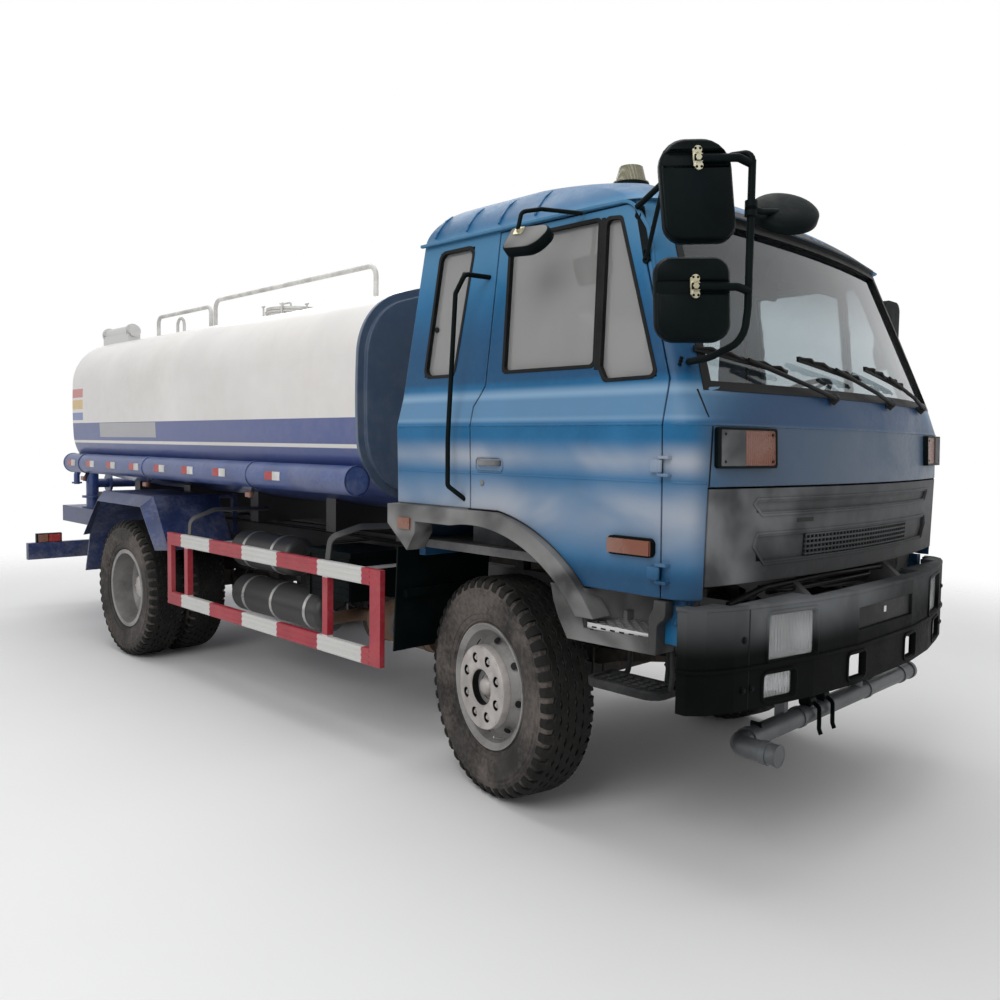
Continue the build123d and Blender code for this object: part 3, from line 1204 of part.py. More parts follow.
def engine():
    """Engine and gearbox as one block, carried on the frame by four arms."""
    x0, x1 = ENGINE_X
    body = block(x0, x1, -300, 300, 760, 1400)
    body += block(x0 - GEARBOX_LENGTH, x0 + 5, -170, 170, GEARBOX_Z - 90, GEARBOX_Z + 230)
    for x in (x0 + 130, x1 - 130):
        half, low = FRAME_HALF_WIDTH, FRAME_TOP + SEAT_GAP
        body += block(x - 40, x + 40, -half + 80, half - 80, low, FRAME_TOP + 60)
        body += block(x - 40, x + 40, -half, half, low, FRAME_TOP + 40)
    return body


# ---------------------------------------------------------------- write the nodes
def main():
    os.makedirs("parts", exist_ok=True)
    save("frame_rails", frame_rail(), other_side(frame_rail()))
    save("cross_members", *cross_members())
    save("tank_bearers", tank_bearer(), other_side(tank_bearer()))
    save("tank_saddles", *tank_saddles())
    save("front_axle", front_axle())
    springs = [leaf_spring(*row) for row in SPRINGS]
    save("leaf_springs", *springs, *[other_side(s) for s in springs])
    save("rear_axle", rear_axle())
    save_cab("engine", engine())
    save("exhaust", exhaust())
    save("air_tanks", air_tanks())
    save("battery_box", battery_box())
    save("fuel_tank", fuel_tank())
    save_cab("bumper", bumper())
    save_cab("spray_bar", spray_bar())
    save_cab("front_lamps", *lamps())
    save("knuckle_right", steered(knuckle(), -1))
    save("knuckle_left", steered(other_side(knuckle()), 1))
    save("track_rod", track_rod())
    for name, side in (("right", -1), ("left", 1)):
        rim = place_wheel(front_wheel(side), WHEELBASE, side * FRONT_WHEEL_Y)
        rubber = place_wheel(tyre(0), WHEELBASE, side * FRONT_WHEEL_Y)
        save(f"front_rim_{name}", steered(rim, side))
        save(f"front_tyre_{name}", steered(rubber, side))
        save(f"rear_rims_{name}", place_wheel(rear_rims(side), 0, side * REAR_WHEEL_Y))
        pair = [place_wheel(tyre(0), 0, side * REAR_WHEEL_Y + k * TWIN_SPACING / 2) for k in (-1, 1)]
        save(f"rear_tyres_{name}", *pair)
    save_cab("cab_floor", cab_floor())
    save_cab("cab_back", cab_back())
    save_cab("cab_sides", cab_side(), other_side(cab_side()))
    save_cab("cab_roof", cab_roof())
    save_cab("cab_front", cab_front())
    save_cab("grille_panel", grille_panel())
    rear_panes = [back_wall_part(y0 + 0.4, y1 - 0.4, REAR_WINDOW_Z[0] + 0.4, REAR_WINDOW_Z[1] - 0.4, 18, 26)
                  for y0, y1 in REAR_WINDOWS]
    sides = pane(CAB_LEVELS, [side_prism(REAR_SIDE_WINDOW, -0.4)])
    screen = pane(CAB_LEVELS, [windscreen_prism(-0.4)])
    save_cab("cab_glass", *screen, *rear_panes, *sides, *[other_side(s) for s in sides])
    save_cab("door_right", door())
    save_cab("door_left", other_side(door()))
    save_cab("door_glass_right", *door_glass())
    save_cab("door_glass_left", *[other_side(s) for s in door_glass()])
    save_cab("arch_flares", arch_flare(), other_side(arch_flare()))
    save_cab("cab_steps", step_surround(), other_side(step_surround()))
    save_cab("seats", *seats())
    save_cab("dashboard", dashboard())
    save_cab("column_sleeve", column_sleeve())
    save_cab("steering_wheel", steering_wheel())
    save_cab("mirrors_right", mirror_frame())
    save_cab("mirror_left", left_mirror())
    save_cab("door_lamp_right", door_lamp())
    save_cab("door_lamp_left", other_side(door_lamp()))
    save_cab("grab_handles", grab_handle(), other_side(grab_handle()))
    save_cab("cab_lamps", *cab_lamps())
    save("tank", tank() + lid_hinge())
    save("manhole_lid", manhole_lid())
    save("tank_rails", *tank_rails())
    save("top_pipe", top_pipe())
    save("side_tubes", side_tube(), other_side(side_tube()))
    save("side_guards", side_guard(), other_side(side_guard()))
    save("mudguards", mudguard(), other_side(mudguard()))
    save_cab("front_flaps", front_flap(), other_side(front_flap()))
    save("rear_platform", *rear_platform())
    save("pump", pump())


if __name__ == "__main__":
    main()
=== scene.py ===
import logging
import math
from dataclasses import dataclass
from enum import Enum
from typing import Callable, Iterable, Sequence

import bmesh
import bpy
from mathutils import Matrix, Vector


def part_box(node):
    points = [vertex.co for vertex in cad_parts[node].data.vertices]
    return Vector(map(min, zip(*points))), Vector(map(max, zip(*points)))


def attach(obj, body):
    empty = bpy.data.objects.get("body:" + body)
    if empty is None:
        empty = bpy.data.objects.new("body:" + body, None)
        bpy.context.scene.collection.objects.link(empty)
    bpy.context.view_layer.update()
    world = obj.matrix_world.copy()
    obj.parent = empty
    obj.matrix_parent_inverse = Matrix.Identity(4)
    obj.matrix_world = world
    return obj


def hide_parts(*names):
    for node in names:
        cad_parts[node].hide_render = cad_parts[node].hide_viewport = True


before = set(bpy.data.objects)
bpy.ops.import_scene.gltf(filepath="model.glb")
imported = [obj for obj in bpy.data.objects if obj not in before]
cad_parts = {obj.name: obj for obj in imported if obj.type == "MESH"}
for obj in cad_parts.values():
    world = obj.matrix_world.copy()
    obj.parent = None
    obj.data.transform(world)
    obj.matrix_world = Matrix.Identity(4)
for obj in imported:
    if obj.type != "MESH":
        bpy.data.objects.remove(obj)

LOG = logging.getLogger("tanker")
logging.basicConfig(level=logging.INFO, format="%(name)s: %(message)s")
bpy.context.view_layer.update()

REAR_BAR_X = -2400
ORIGIN_X = REAR_BAR_X - 1000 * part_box("rear_platform")[0].x
WHEELBASE = 3950
AXLE_Z = 523
REST_STEER = math.radians(12)    # both front wheels point to the right by this angle
KINGPIN_Y = 790
FRONT_OFFSET = 155    # from the kingpin out to the middle of the tyre
REAR_Y = 925    # middle between the twin wheels
TWIN_OFFSET = 160    # from there to the middle of each

Point = tuple[float, float, float]
Colour = tuple[float, float, float]
Spot = tuple[float, float]
Outline = Sequence[Spot]


class Side(Enum):
    """The two sides of the vehicle, as the sign of Y."""

    RIGHT = -1
    LEFT = 1

    @property
    def word(self) -> str:
        """The side's name in lower case."""
        return self.name.lower()


# ------------------------------------------------------------------ node helpers
class Nodes:
    """A short way to build one material's node tree."""

    def __init__(self, name: str) -> None:
        """Makes an empty material with its output.

        Args:
            name: name of the material.
        """
        self.material = bpy.data.materials.new(name)
        self.material.use_nodes = True
        self.tree = self.material.node_tree
        self.tree.nodes.clear()
        self.out = self.tree.nodes.new("ShaderNodeOutputMaterial")
        self.coord = self.tree.nodes.new("ShaderNodeTexCoord").outputs["Object"]
        split = self.tree.nodes.new("ShaderNodeSeparateXYZ")
        self.tree.links.new(self.coord, split.inputs[0])
        self.xyz = split.outputs

    def put(self, socket: bpy.types.NodeSocket, value: object) -> None:
        """Links a socket, or sets its value.

        Args:
            socket: the input to fill.
            value: another node's output, a number or a colour.
        """
        if isinstance(value, bpy.types.NodeSocket):
            self.tree.links.new(value, socket)
        elif isinstance(value, tuple):
            socket.default_value = (*value, 1.0) if len(socket.default_value) == 4 else value
        else:
            socket.default_value = value

    def math(self, kind: str, a: object, b: object = 0.5, clamp: bool = False) -> bpy.types.NodeSocket:
        """One arithmetic node.

        Args:
            kind: the operation, such as ADD.
            a: first input.
            b: second input.
            clamp: whether the result stays within 0 and 1.

        Returns:
            The result's socket.
        """
        node = self.tree.nodes.new("ShaderNodeMath")
        node.operation, node.use_clamp = kind, clamp
        self.put(node.inputs[0], a)
        self.put(node.inputs[1], b)
        return node.outputs[0]

    def noise(self, scale: float, detail: float = 4, stretch: Point = (1, 1, 1), rough: float = 0.55,
              warp: float = 0.0) -> bpy.types.NodeSocket:
        """Fractal noise in the part's own space.

        Args:
            scale: how many cells fit in a metre.
            detail: number of octaves.
            stretch: scale along each axis.
            rough: weight of the fine octaves.
            warp: distortion.

        Returns:
            The noise, about 0.5 in the middle.
        """
        spread = self.tree.nodes.new("ShaderNodeVectorMath")
        spread.operation = "MULTIPLY"
        self.tree.links.new(self.coord, spread.inputs[0])
        spread.inputs[1].default_value = stretch
        node = self.tree.nodes.new("ShaderNodeTexNoise")
        self.tree.links.new(spread.outputs[0], node.inputs["Vector"])
        node.inputs["Scale"].default_value = scale
        node.inputs["Detail"].default_value = detail
        node.inputs["Roughness"].default_value = rough
        node.inputs["Distortion"].default_value = warp
        return node.outputs[0]

    def ramp(self, value: object, low: float, high: float, to_low: float = 0.0,
             to_high: float = 1.0) -> bpy.types.NodeSocket:
        """Maps a range to another, smoothly and clamped.

        Args:
            value: the input.
            low: input at the start.
            high: input at the end.
            to_low: output at the start.
            to_high: output at the end.

        Returns:
            The mapped value.
        """
        node = self.tree.nodes.new("ShaderNodeMapRange")
        node.interpolation_type = "SMOOTHSTEP"
        for socket, number in zip(node.inputs[:5], (value, low, high, to_low, to_high)):
            self.put(socket, number)
        return node.outputs[0]

    def mix(self, factor: object, a: object, b: object) -> bpy.types.NodeSocket:
        """Mixes two colours.

        Args:
            factor: share of the second colour.
            a: first colour.
            b: second colour.

        Returns:
            The mixed colour.
        """
        node = self.tree.nodes.new("ShaderNodeMix")
        node.data_type = "RGBA"
        self.put(node.inputs[0], factor)
        self.put(node.inputs[6], a)
        self.put(node.inputs[7], b)
        return node.outputs[2]

    def band(self, axis: int, low: float, high: float, soft: float = 0.002) -> bpy.types.NodeSocket:
        """1 between two places along an axis, 0 elsewhere.

        Args:
            axis: 0, 1 or 2.
            low: start, in metres.
            high: end, in metres.
            soft: width of the edge.

        Returns:
            The mask.
        """
        up = self.ramp(self.xyz[axis], low - soft, low + soft)
        down = self.ramp(self.xyz[axis], high - soft, high + soft, 1.0, 0.0)
        return self.math("MULTIPLY", up, down)

    def both(self, *masks: object) -> object:
        """The product of several masks.

        Args:
            *masks: values between 0 and 1.

        Returns:
            Their product.
        """
        whole = masks[0]
        for mask in masks[1:]:
            whole = self.math("MULTIPLY", whole, mask)
        return whole

    def bevel(self, radius: float) -> tuple[bpy.types.NodeSocket, bpy.types.NodeSocket]:
        """Rounded normals and a mask of the edges.

        Args:
            radius: radius of the rounding, in metres.

        Returns:
            The normal and the edge mask.
        """
        node = self.tree.nodes.new("ShaderNodeBevel")
        node.samples = 4
        node.inputs["Radius"].default_value = radius
        flat = self.tree.nodes.new("ShaderNodeNewGeometry")
        dot = self.tree.nodes.new("ShaderNodeVectorMath")
        dot.operation = "DOT_PRODUCT"
        self.tree.links.new(node.outputs[0], dot.inputs[0])
        self.tree.links.new(flat.outputs["Normal"], dot.inputs[1])
        return node.outputs[0], self.ramp(dot.outputs["Value"], 0.72, 0.99, 1.0, 0.0)

    def shader(self, colour: object, rough: object, metal: float = 0.0, normal: object = None,
               bump: object = None, bump_depth: float = 0.001, **sockets: object) -> None:
        """Adds the surface shader.

        Args:
            colour: base colour.
            rough: roughness.
            metal: metallic share.
            normal: normal to start from.
            bump: height for the bump.
            bump_depth: size of the bump, in metres.
            **sockets: values of further sockets, spaces written as underscores.
        """
        node = self.tree.nodes.new("ShaderNodeBsdfPrincipled")
        self.put(node.inputs["Base Color"], colour)
        self.put(node.inputs["Roughness"], rough)
        self.put(node.inputs["Metallic"], metal)
        for name, number in sockets.items():
            self.put(node.inputs[name.replace("_", " ")], number)
        if bump is not None:
            step = self.tree.nodes.new("ShaderNodeBump")
            step.inputs["Distance"].default_value = bump_depth
            step.inputs["Strength"].default_value = 0.6
            self.put(step.inputs["Height"], bump)
            if normal is not None:
                self.put(step.inputs["Normal"], normal)
            normal = step.outputs[0]
        if normal is not None:
            self.put(node.inputs["Normal"], normal)
        self.tree.links.new(node.outputs[0], self.out.inputs["Surface"])


@dataclass(frozen=True)
class Finish:
    """A procedural surface: a colour that varies, dust, worn edges and a fine grain."""

    name: str
    slot: str
    colour: Colour
    rough: float = 0.45
    metal: float = 0.0
    vary: float = 0.25
    vary_scale: float = 6
    dust: Colour = (0.45, 0.42, 0.38)
    dust_share: float = 0.15
    dust_scale: float = 3
    edge: float = 0.0
    edge_colour: Colour = (0.5, 0.5, 0.5)
    bevel: float = 0.003
    grain: float = 0.0003
    grain_scale: float = 90
    coat: float = 0.0
    specular: float = 0.5
    paint: Callable[[Nodes, object], object] | None = None

    def material(self) -> bpy.types.Material:
        """Returns this finish's material, made once."""
        known = bpy.data.materials.get(self.name)
        if known:
            return known
        n = Nodes(self.name)
        dark = tuple(c * (1 - self.vary) for c in self.colour)
        light = tuple(min(1.0, c * (1 + self.vary)) for c in self.colour)
        cloud = n.noise(self.vary_scale, 5)
        colour = n.mix(n.ramp(cloud, 0.3, 0.7), dark, light)
        if self.paint:
            colour = self.paint(n, colour)
        film = n.noise(self.dust_scale, 7, rough=0.62, warp=0.4)
        grit = n.noise(self.dust_scale * 13, 3)
        film = n.math("ADD", n.math("MULTIPLY", film, 0.7), n.math("MULTIPLY", grit, 0.3))
        veil = n.math("MULTIPLY", n.ramp(film, 0.42, 0.66), self.dust_share)
        colour = n.mix(veil, colour, self.dust)
        normal, edges = n.bevel(self.bevel)
        if self.edge:
            wear = n.math("MULTIPLY", edges, n.ramp(n.noise(22, 5), 0.4, 0.62, 0.0, self.edge), True)
            colour = n.mix(wear, colour, self.edge_colour)
        rough = n.math("ADD", n.ramp(film, 0.35, 0.7, self.rough - 0.08, self.rough + 0.14), 0.0, True)
        n.shader(colour, rough, self.metal, normal, n.noise(self.grain_scale, 3), self.grain,
                 Coat_Weight=self.coat, Coat_Roughness=0.12, Specular_IOR_Level=self.specular)
        return n.material


def metres(x: float) -> float:
    """A place along X, from the rear axle in mm to the part's own metres."""
    return (x - ORIGIN_X) / 1000


def cab_haze(n: Nodes, colour: object) -> object:
    """Painted highlights on the shoulders and the upper posts, painted shade on the lower posts, the nose,
    the roof and along the lower edge, dusty clouds on the lower halves of the sides, and grey clouds on the
    nose.

    Args:
        n: the material being built.
        colour: the plain colour.

    Returns:
        The paint's colour.
    """
    z = n.xyz[2]
    nose = n.ramp(n.xyz[0], metres(5060), metres(5170))
    side = n.math("SUBTRACT", 1.0, nose)
    post = n.both(n.ramp(z, 1.92, 1.96), side)
    # Painted shade on the lower posts, then a painted highlight on their upper parts under the roof.
    tone = n.mix(n.both(post, n.ramp(z, 2.42, 2.08, 0.0, 0.9)), colour, (0.010, 0.066, 0.160))
    tone = n.mix(n.both(post, n.ramp(z, 2.30, 2.58, 0.0, 0.6), n.ramp(z, 2.64, 2.68, 1.0, 0.0)), tone,
                 (0.10, 0.26, 0.42))
    # Painted highlights on the shoulder band and along the pressed crease.
    shoulder_highlight = n.math("ADD", n.math("MULTIPLY", n.band(2, 1.775, 1.915, 0.012), 0.45), n.math(
        "ADD", n.math("MULTIPLY", n.band(2, 1.872, 1.900, 0.014), 0.50), n.math(
            "MULTIPLY", n.band(2, 1.768, 1.786, 0.012), 0.35)))
    tone = n.mix(n.both(shoulder_highlight, side), tone, (0.23, 0.38, 0.55))
    cloud = n.ramp(n.noise(1.5, 3, (1, 1, 1.5), 0.5, 0.5), 0.34, 0.62, 0.42, 1.0)
    low = n.math("MULTIPLY", n.band(2, 1.27, 1.49, 0.10), 0.95)
    belt = n.math("MULTIPLY", n.band(2, 1.572, 1.66, 0.05), 0.95)
    mask = n.both(cloud, n.math("MAXIMUM", low, belt), n.ramp(nose, 0.0, 1.0, 1.0, 0.0))
    tone = n.mix(mask, tone, (0.42, 0.45, 0.51))
    # Painted shade on the nose below the crease.
    tone = n.mix(n.both(nose, n.band(2, 1.0, 1.762, 0.01)), tone, (0.046, 0.086, 0.150))
    grey = n.both(nose, n.band(2, 1.50, 1.75, 0.03), n.ramp(n.noise(2.2, 3), 0.35, 0.65, 0.05, 0.4))
    tone = n.mix(grey, tone, (0.090, 0.125, 0.175))
    # Painted shade on the nose above the crease.
    tone = n.mix(n.both(nose, n.band(2, 1.76, 2.0, 0.01)), tone, (0.012, 0.052, 0.135))
    # Painted shade on the roof, against the bright top lamp.
    tone = n.mix(n.ramp(z, 2.66, 2.70, 0.0, 0.5), tone, (0.008, 0.070, 0.170))
    # Painted shade: a darker band along the lower edge.
    return n.mix(n.math("MULTIPLY", n.band(2, 1.0, 1.20, 0.05), 0.7), tone, (0.014, 0.045, 0.10))


def black_haze(n: Nodes, colour: object) -> object:
    """A pale painted highlight along the top of the front bumper, stronger on the right, broken up by dusty
    clouds.

    Args:
        n: the material being built.
        colour: the plain colour.

    Returns:
        The bumper's colour.
    """
    cloud = n.ramp(n.noise(2.4, 3, rough=0.5, warp=0.4), 0.34, 0.62, 0.5, 1.0)
    # Painted highlight on the upper face, stronger towards the top and the right; the clouds are dust.
    film = n.both(cloud, n.ramp(n.xyz[2], 0.89, 1.07), n.ramp(n.xyz[1], -0.35, 0.15, 1.0, 0.35))
    return n.mix(film, colour, (0.17, 0.18, 0.19))


def grille_haze(n: Nodes, colour: object) -> object:
    """Dusty clouds and a painted highlight on the grille panel, palest at its right and along its top, and
    painted shade, nearly black, low in the middle.

    Args:
        n: the material being built.
        colour: the plain colour.

    Returns:
        The panel's colour.
    """
    cloud = n.ramp(n.noise(3, 3, rough=0.5, warp=0.4), 0.34, 0.64, 0.0, 1.0)
    right = n.ramp(n.xyz[1], -1.0, -0.1, 1.0, 0.30)
    top = n.ramp(n.xyz[2], 1.20, 1.44, 0.25, 1.0)
    # Painted highlight with dusty clouds, strongest at the right and along the top.
    tone = n.mix(n.both(cloud, right, n.math("MAXIMUM", top, n.ramp(n.xyz[1], -0.95, -0.75, 1.0, 0.0))),
                 colour, (0.22, 0.225, 0.235))
    # Painted shade low in the middle of the panel.
    return n.mix(n.both(n.ramp(n.xyz[2], 1.36, 1.20, 0.0, 0.8), n.ramp(n.xyz[1], -0.98, -0.75)), tone,
                 (0.022, 0.023, 0.024))


def grey_haze(n: Nodes, colour: object) -> object:
    """Soft pale clouds on grey plastic."""
    cloud = n.ramp(n.noise(3, 2, rough=0.45, warp=0.4), 0.36, 0.66, 0.0, 0.75)
    return n.mix(cloud, colour, (0.33, 0.33, 0.325))


def lens_tone(n: Nodes, colour: object) -> object:
    """Olive instead of amber above the roof."""
    return n.mix(n.ramp(n.xyz[2], 2.79, 2.80), colour, (0.26, 0.24, 0.15))


def screen_mask(n: Nodes) -> object:
    """1 on the windscreen, 0 on the other windows.

    Args:
        n: the material being built.

    Returns:
        The mask.
    """
    lean = n.math("MULTIPLY", n.math("SUBTRACT", n.xyz[2], 1.9), 0.155)
    across = n.math("ADD", n.math("ABSOLUTE", n.xyz[1], 0.0), lean)
    return n.both(n.ramp(across, 1.12, 1.13, 1.0, 0.0), n.ramp(n.xyz[0], metres(4600), metres(4620)))


def left_mask(n: Nodes) -> object:
    """1 on the windows of the left side."""
    return n.both(n.ramp(n.xyz[1], 0.9, 0.92), n.math("SUBTRACT", 1.0, screen_mask(n)))


def glass_tone(n: Nodes, colour: object) -> object:
    """Bluer glass in the windscreen with painted shade, darkest along its top, and clear glass on the left.
    """
    # Painted shade: the windscreen's colour darkens towards its top.
    screen = n.mix(n.ramp(n.xyz[2], 2.15, 2.50), (0.38, 0.45, 0.48), (0.12, 0.15, 0.17))
    return n.mix(left_mask(n), n.mix(screen_mask(n), colour, screen), (0.90, 0.93, 0.94))


def tank_bands(n: Nodes, colour: object) -> object:
    """Cream above, a blue band with a pale patch, a thin cream line, blue below, and a dark front head.

    Args:
        n: the material being built.
        colour: the plain colour.

    Returns:
        The tank's colour.
    """
    blue = (0.045, 0.075, 0.24)
    pale = (0.36, 0.36, 0.37)
    tone = n.mix(n.band(2, 0.0, 1.81), colour, blue)
    patch = n.both(n.band(2, 1.69, 1.805), n.band(0, metres(-760), metres(330)))
    tone = n.mix(n.math("MULTIPLY", patch, 0.95), tone, pale)
    tone = n.mix(n.band(2, 1.640, 1.662), tone, (0.72, 0.70, 0.66))
    for low, high, flash in ((2.03, 2.105, (0.50, 0.09, 0.08)), (1.93, 2.01, (0.62, 0.40, 0.10)),
                             (1.835, 1.90, (0.06, 0.12, 0.38))):
        spot = n.both(n.band(2, low, high), n.band(0, metres(-1375), metres(-1130), 0.004))
        tone = n.mix(n.math("MULTIPLY", spot, 0.9), tone, flash)
    return n.mix(n.band(0, metres(2884), metres(2990), 0.003), tone, (0.072, 0.108, 0.170))


def guard_blocks(n: Nodes, colour: object) -> object:
    """Off-white lengths between the red ones along the side guard.

    Args:
        n: the material being built.
        colour: the plain colour.

    Returns:
        The guard's colour.
    """
    step = n.math("FRACT", n.math("DIVIDE", n.math("ADD", n.xyz[0], 10 + 0.07), 0.86), 0.0)
    white = n.math("MULTIPLY", n.ramp(step, 0.0, 0.01), n.ramp(step, 0.49, 0.50, 1.0, 0.0))
    rails = n.math("MAXIMUM", n.band(2, 0.49, 0.592), n.band(2, 0.918, 1.02))
    inside = n.band(0, metres(752), metres(3122))
    return n.mix(n.both(white, rails, inside), colour, (0.62, 0.62, 0.60))


class Finishes:
    """All finishes of the vehicle."""

    CAB = Finish("cab_blue", "cab_paint", (0.012, 0.130, 0.290), 0.40, 0.0, 0.12, 3, (0.20, 0.32, 0.42), 0.06,
                 bevel=0.008, grain=0.00004, coat=0.05, specular=0.2, edge=0.3,
                 edge_colour=(0.26, 0.38, 0.52), paint=cab_haze)
    INSIDE = Finish("cab_lining", "cab_paint", (0.10, 0.10, 0.105), 0.8, specular=0.2)
    TANK = Finish("tank_cream", "tank_paint", (0.74, 0.72, 0.70), 0.36, 0.12, 0.06, 1.4, (0.50, 0.45, 0.38),
                  0.10, 1.2, bevel=0.01, grain=0.0001, coat=0.3, paint=tank_bands)
    WHITE = Finish("rail_white", "tank_paint", (0.62, 0.62, 0.60), 0.45, dust_share=0.3)
    NAVY = Finish("guard_navy", "navy_paint", (0.022, 0.040, 0.125), 0.42, dust_share=0.22, edge=0.7,
                  edge_colour=(0.38, 0.42, 0.50), bevel=0.006)
    PIPE = Finish("pipe_blue", "blue_pipe", (0.030, 0.065, 0.215), 0.40, vary=0.18, dust_share=0.18, coat=0.2)
    GUARD = Finish("guard_red", "guard_paint", (0.36, 0.018, 0.035), 0.42, vary=0.12, dust_share=0.12,
                   paint=guard_blocks, edge=0.3)
    BUMPER = Finish("bumper_black", "black_plastic", (0.0035, 0.0045, 0.004), 0.55, dust=(0.06, 0.06, 0.06),
                    dust_share=0.03, vary=0.2, bevel=0.010, grain=0.0003, specular=0.03, paint=black_haze)
    BLACK = Finish("black_plastic_fine", "black_plastic", (0.003, 0.006, 0.0065), 0.45,
                   dust=(0.07, 0.07, 0.07), dust_share=0.02, bevel=0.004, specular=0.05)
    PIPE_GREY = Finish("spray_grey", "chassis_black", (0.085, 0.092, 0.098), 0.40, 0.2, dust=(0.2, 0.2, 0.2),
                       dust_share=0.2, specular=0.4)
    GREY = Finish("grille_grey", "grey_plastic", (0.066, 0.069, 0.072), 0.55, dust=(0.14, 0.14, 0.15),
                  dust_share=0.2, vary=0.22, bevel=0.006, specular=0.08, paint=grille_haze)
    FLARE = Finish("flare_grey", "grey_plastic", (0.050, 0.050, 0.050), 0.55, dust=(0.20, 0.20, 0.20),
                   dust_share=0.3, vary=0.25, bevel=0.008, specular=0.2, paint=grey_haze)
    STEP = Finish("step_grey", "black_plastic", (0.050, 0.050, 0.049), 0.5, dust=(0.2, 0.2, 0.2),
                  dust_share=0.3, vary=0.25, bevel=0.006, specular=0.2, paint=grey_haze)
    CHASSIS = Finish("chassis_black", "chassis_black", (0.014, 0.014, 0.015), 0.55, dust=(0.15, 0.13, 0.11),
                     dust_share=0.35, bevel=0.003, specular=0.3)
    CAST = Finish("cast_dark", "cast", (0.030, 0.028, 0.026), 0.65, 0.2, dust=(0.17, 0.13, 0.10),
                  dust_share=0.4, grain=0.001, specular=0.3)
    STEP_LOW = Finish("step_dark", "black_plastic", (0.022, 0.023, 0.024), 0.5, dust=(0.10, 0.10, 0.10),
                      dust_share=0.3, vary=0.2, bevel=0.005, specular=0.1)
    WHEEL = Finish("wheel_grey", "wheel_paint", (0.23, 0.225, 0.22), 0.50, 0.1, dust=(0.36, 0.34, 0.32),
                   dust_share=0.5, dust_scale=7, vary=0.3, edge=0.4, edge_colour=(0.4, 0.4, 0.4))
    HUB = Finish("hub_pale", "wheel_paint", (0.46, 0.43, 0.41), 0.45, 0.1, dust=(0.25, 0.22, 0.20),
                 dust_share=0.35, dust_scale=14, edge=0.4, edge_colour=(0.7, 0.7, 0.7))
    TYRE = Finish("tyre_rubber", "tyre", (0.0085, 0.0085, 0.008), 0.68, dust=(0.07, 0.065, 0.06),
                  dust_share=0.22, dust_scale=5, vary=0.2, grain=0.0004, specular=0.15, edge=0.5,
                  edge_colour=(0.12, 0.12, 0.12))
    WALL = Finish("tyre_wall", "tyre", (0.034, 0.031, 0.029), 0.7, dust=(0.20, 0.17, 0.155), dust_share=0.62,
                  dust_scale=3.4, vary=0.35, grain=0.0004, specular=0.2)
    RUBBER = Finish("seal_rubber", "black_plastic", (0.004, 0.0045, 0.005), 0.5, dust_share=0.02,
                    specular=0.15)
    STEEL = Finish("bare_steel", "bare_steel", (0.34, 0.33, 0.31), 0.38, 0.85, dust=(0.20, 0.14, 0.10),
                   dust_share=0.3, dust_scale=12)
    RUST = Finish("muffler_rust", "bare_steel", (0.10, 0.065, 0.045), 0.7, 0.3, dust=(0.22, 0.11, 0.05),
                  dust_share=0.6, dust_scale=10)
    ZINC = Finish("yellow_zinc", "bare_steel", (0.44, 0.41, 0.27), 0.35, 0.8, dust=(0.5, 0.5, 0.48),
                  dust_share=0.4, dust_scale=30)
    FABRIC = Finish("seat_fabric", "trim_fabric", (0.09, 0.095, 0.105), 0.9, vary=0.3, grain=0.001,
                    grain_scale=220, specular=0.15)
    DASH = Finish("dash_grey", "grey_plastic", (0.060, 0.062, 0.066), 0.6, dust_share=0.2)


@dataclass(frozen=True)
class Lens:
    """A clear or tinted part: glass or a lamp's lens."""

    name: str
    slot: str
    colour: Colour
    rough: float = 0.05
    clear: float = 1.0
    grime: float = 0.15
    ribs: float = 0.0
    paint: Callable[[Nodes, object], object] | None = None

    def material(self) -> bpy.types.Material:
        """Returns this lens's material, made once."""
        known = bpy.data.materials.get(self.name)
        if known:
            return known
        n = Nodes(self.name)
        film = n.ramp(n.noise(4, 6, warp=0.5), 0.4, 0.7)
        tone = self.paint(n, self.colour) if self.paint else self.colour
        colour = n.mix(n.math("MULTIPLY", film, self.grime), tone, (0.6, 0.6, 0.58))
        rough = n.ramp(film, 0.0, 1.0, self.rough, self.rough + (0.02 if self.paint is glass_tone else 0.12))
        bump = n.math("SINE", n.math("MULTIPLY", n.xyz[1], self.ribs * 6.2832), 0.0) if self.ribs else None
        n.shader(colour, rough, 0.0, None, bump, 0.002, Transmission_Weight=self.pane(n), IOR=1.45)
        return n.material

    def pane(self, n: Nodes) -> object:
        """The share of light let through, larger in the windscreen.

        Args:
            n: the material being built.

        Returns:
            The share, as a number or a socket.
        """
        if self.paint is not glass_tone:
            return self.clear
        return n.ramp(n.math("MAXIMUM", screen_mask(n), left_mask(n)), 0.0, 1.0, self.clear, 0.95)


class Lenses:
    """Glass and lamp lenses."""

    GLASS = Lens("window_glass", "glass", (0.50, 0.50, 0.495), 0.01, 0.55, 0.04, paint=glass_tone)
    AMBER = Lens("amber_lens", "lamp", (0.26, 0.085, 0.045), 0.22, 0.2, ribs=90, paint=lens_tone)
    CLEAR = Lens("clear_lens", "lamp", (0.85, 0.87, 0.88), 0.08, 0.75, ribs=60)
    RED = Lens("red_lens", "lamp", (0.55, 0.02, 0.02), 0.15, 0.3, ribs=90)
    MIRROR = Finish("mirror_glass", "glass", (0.75, 0.78, 0.80), 0.04, 1.0, 0.02, dust_share=0.04)


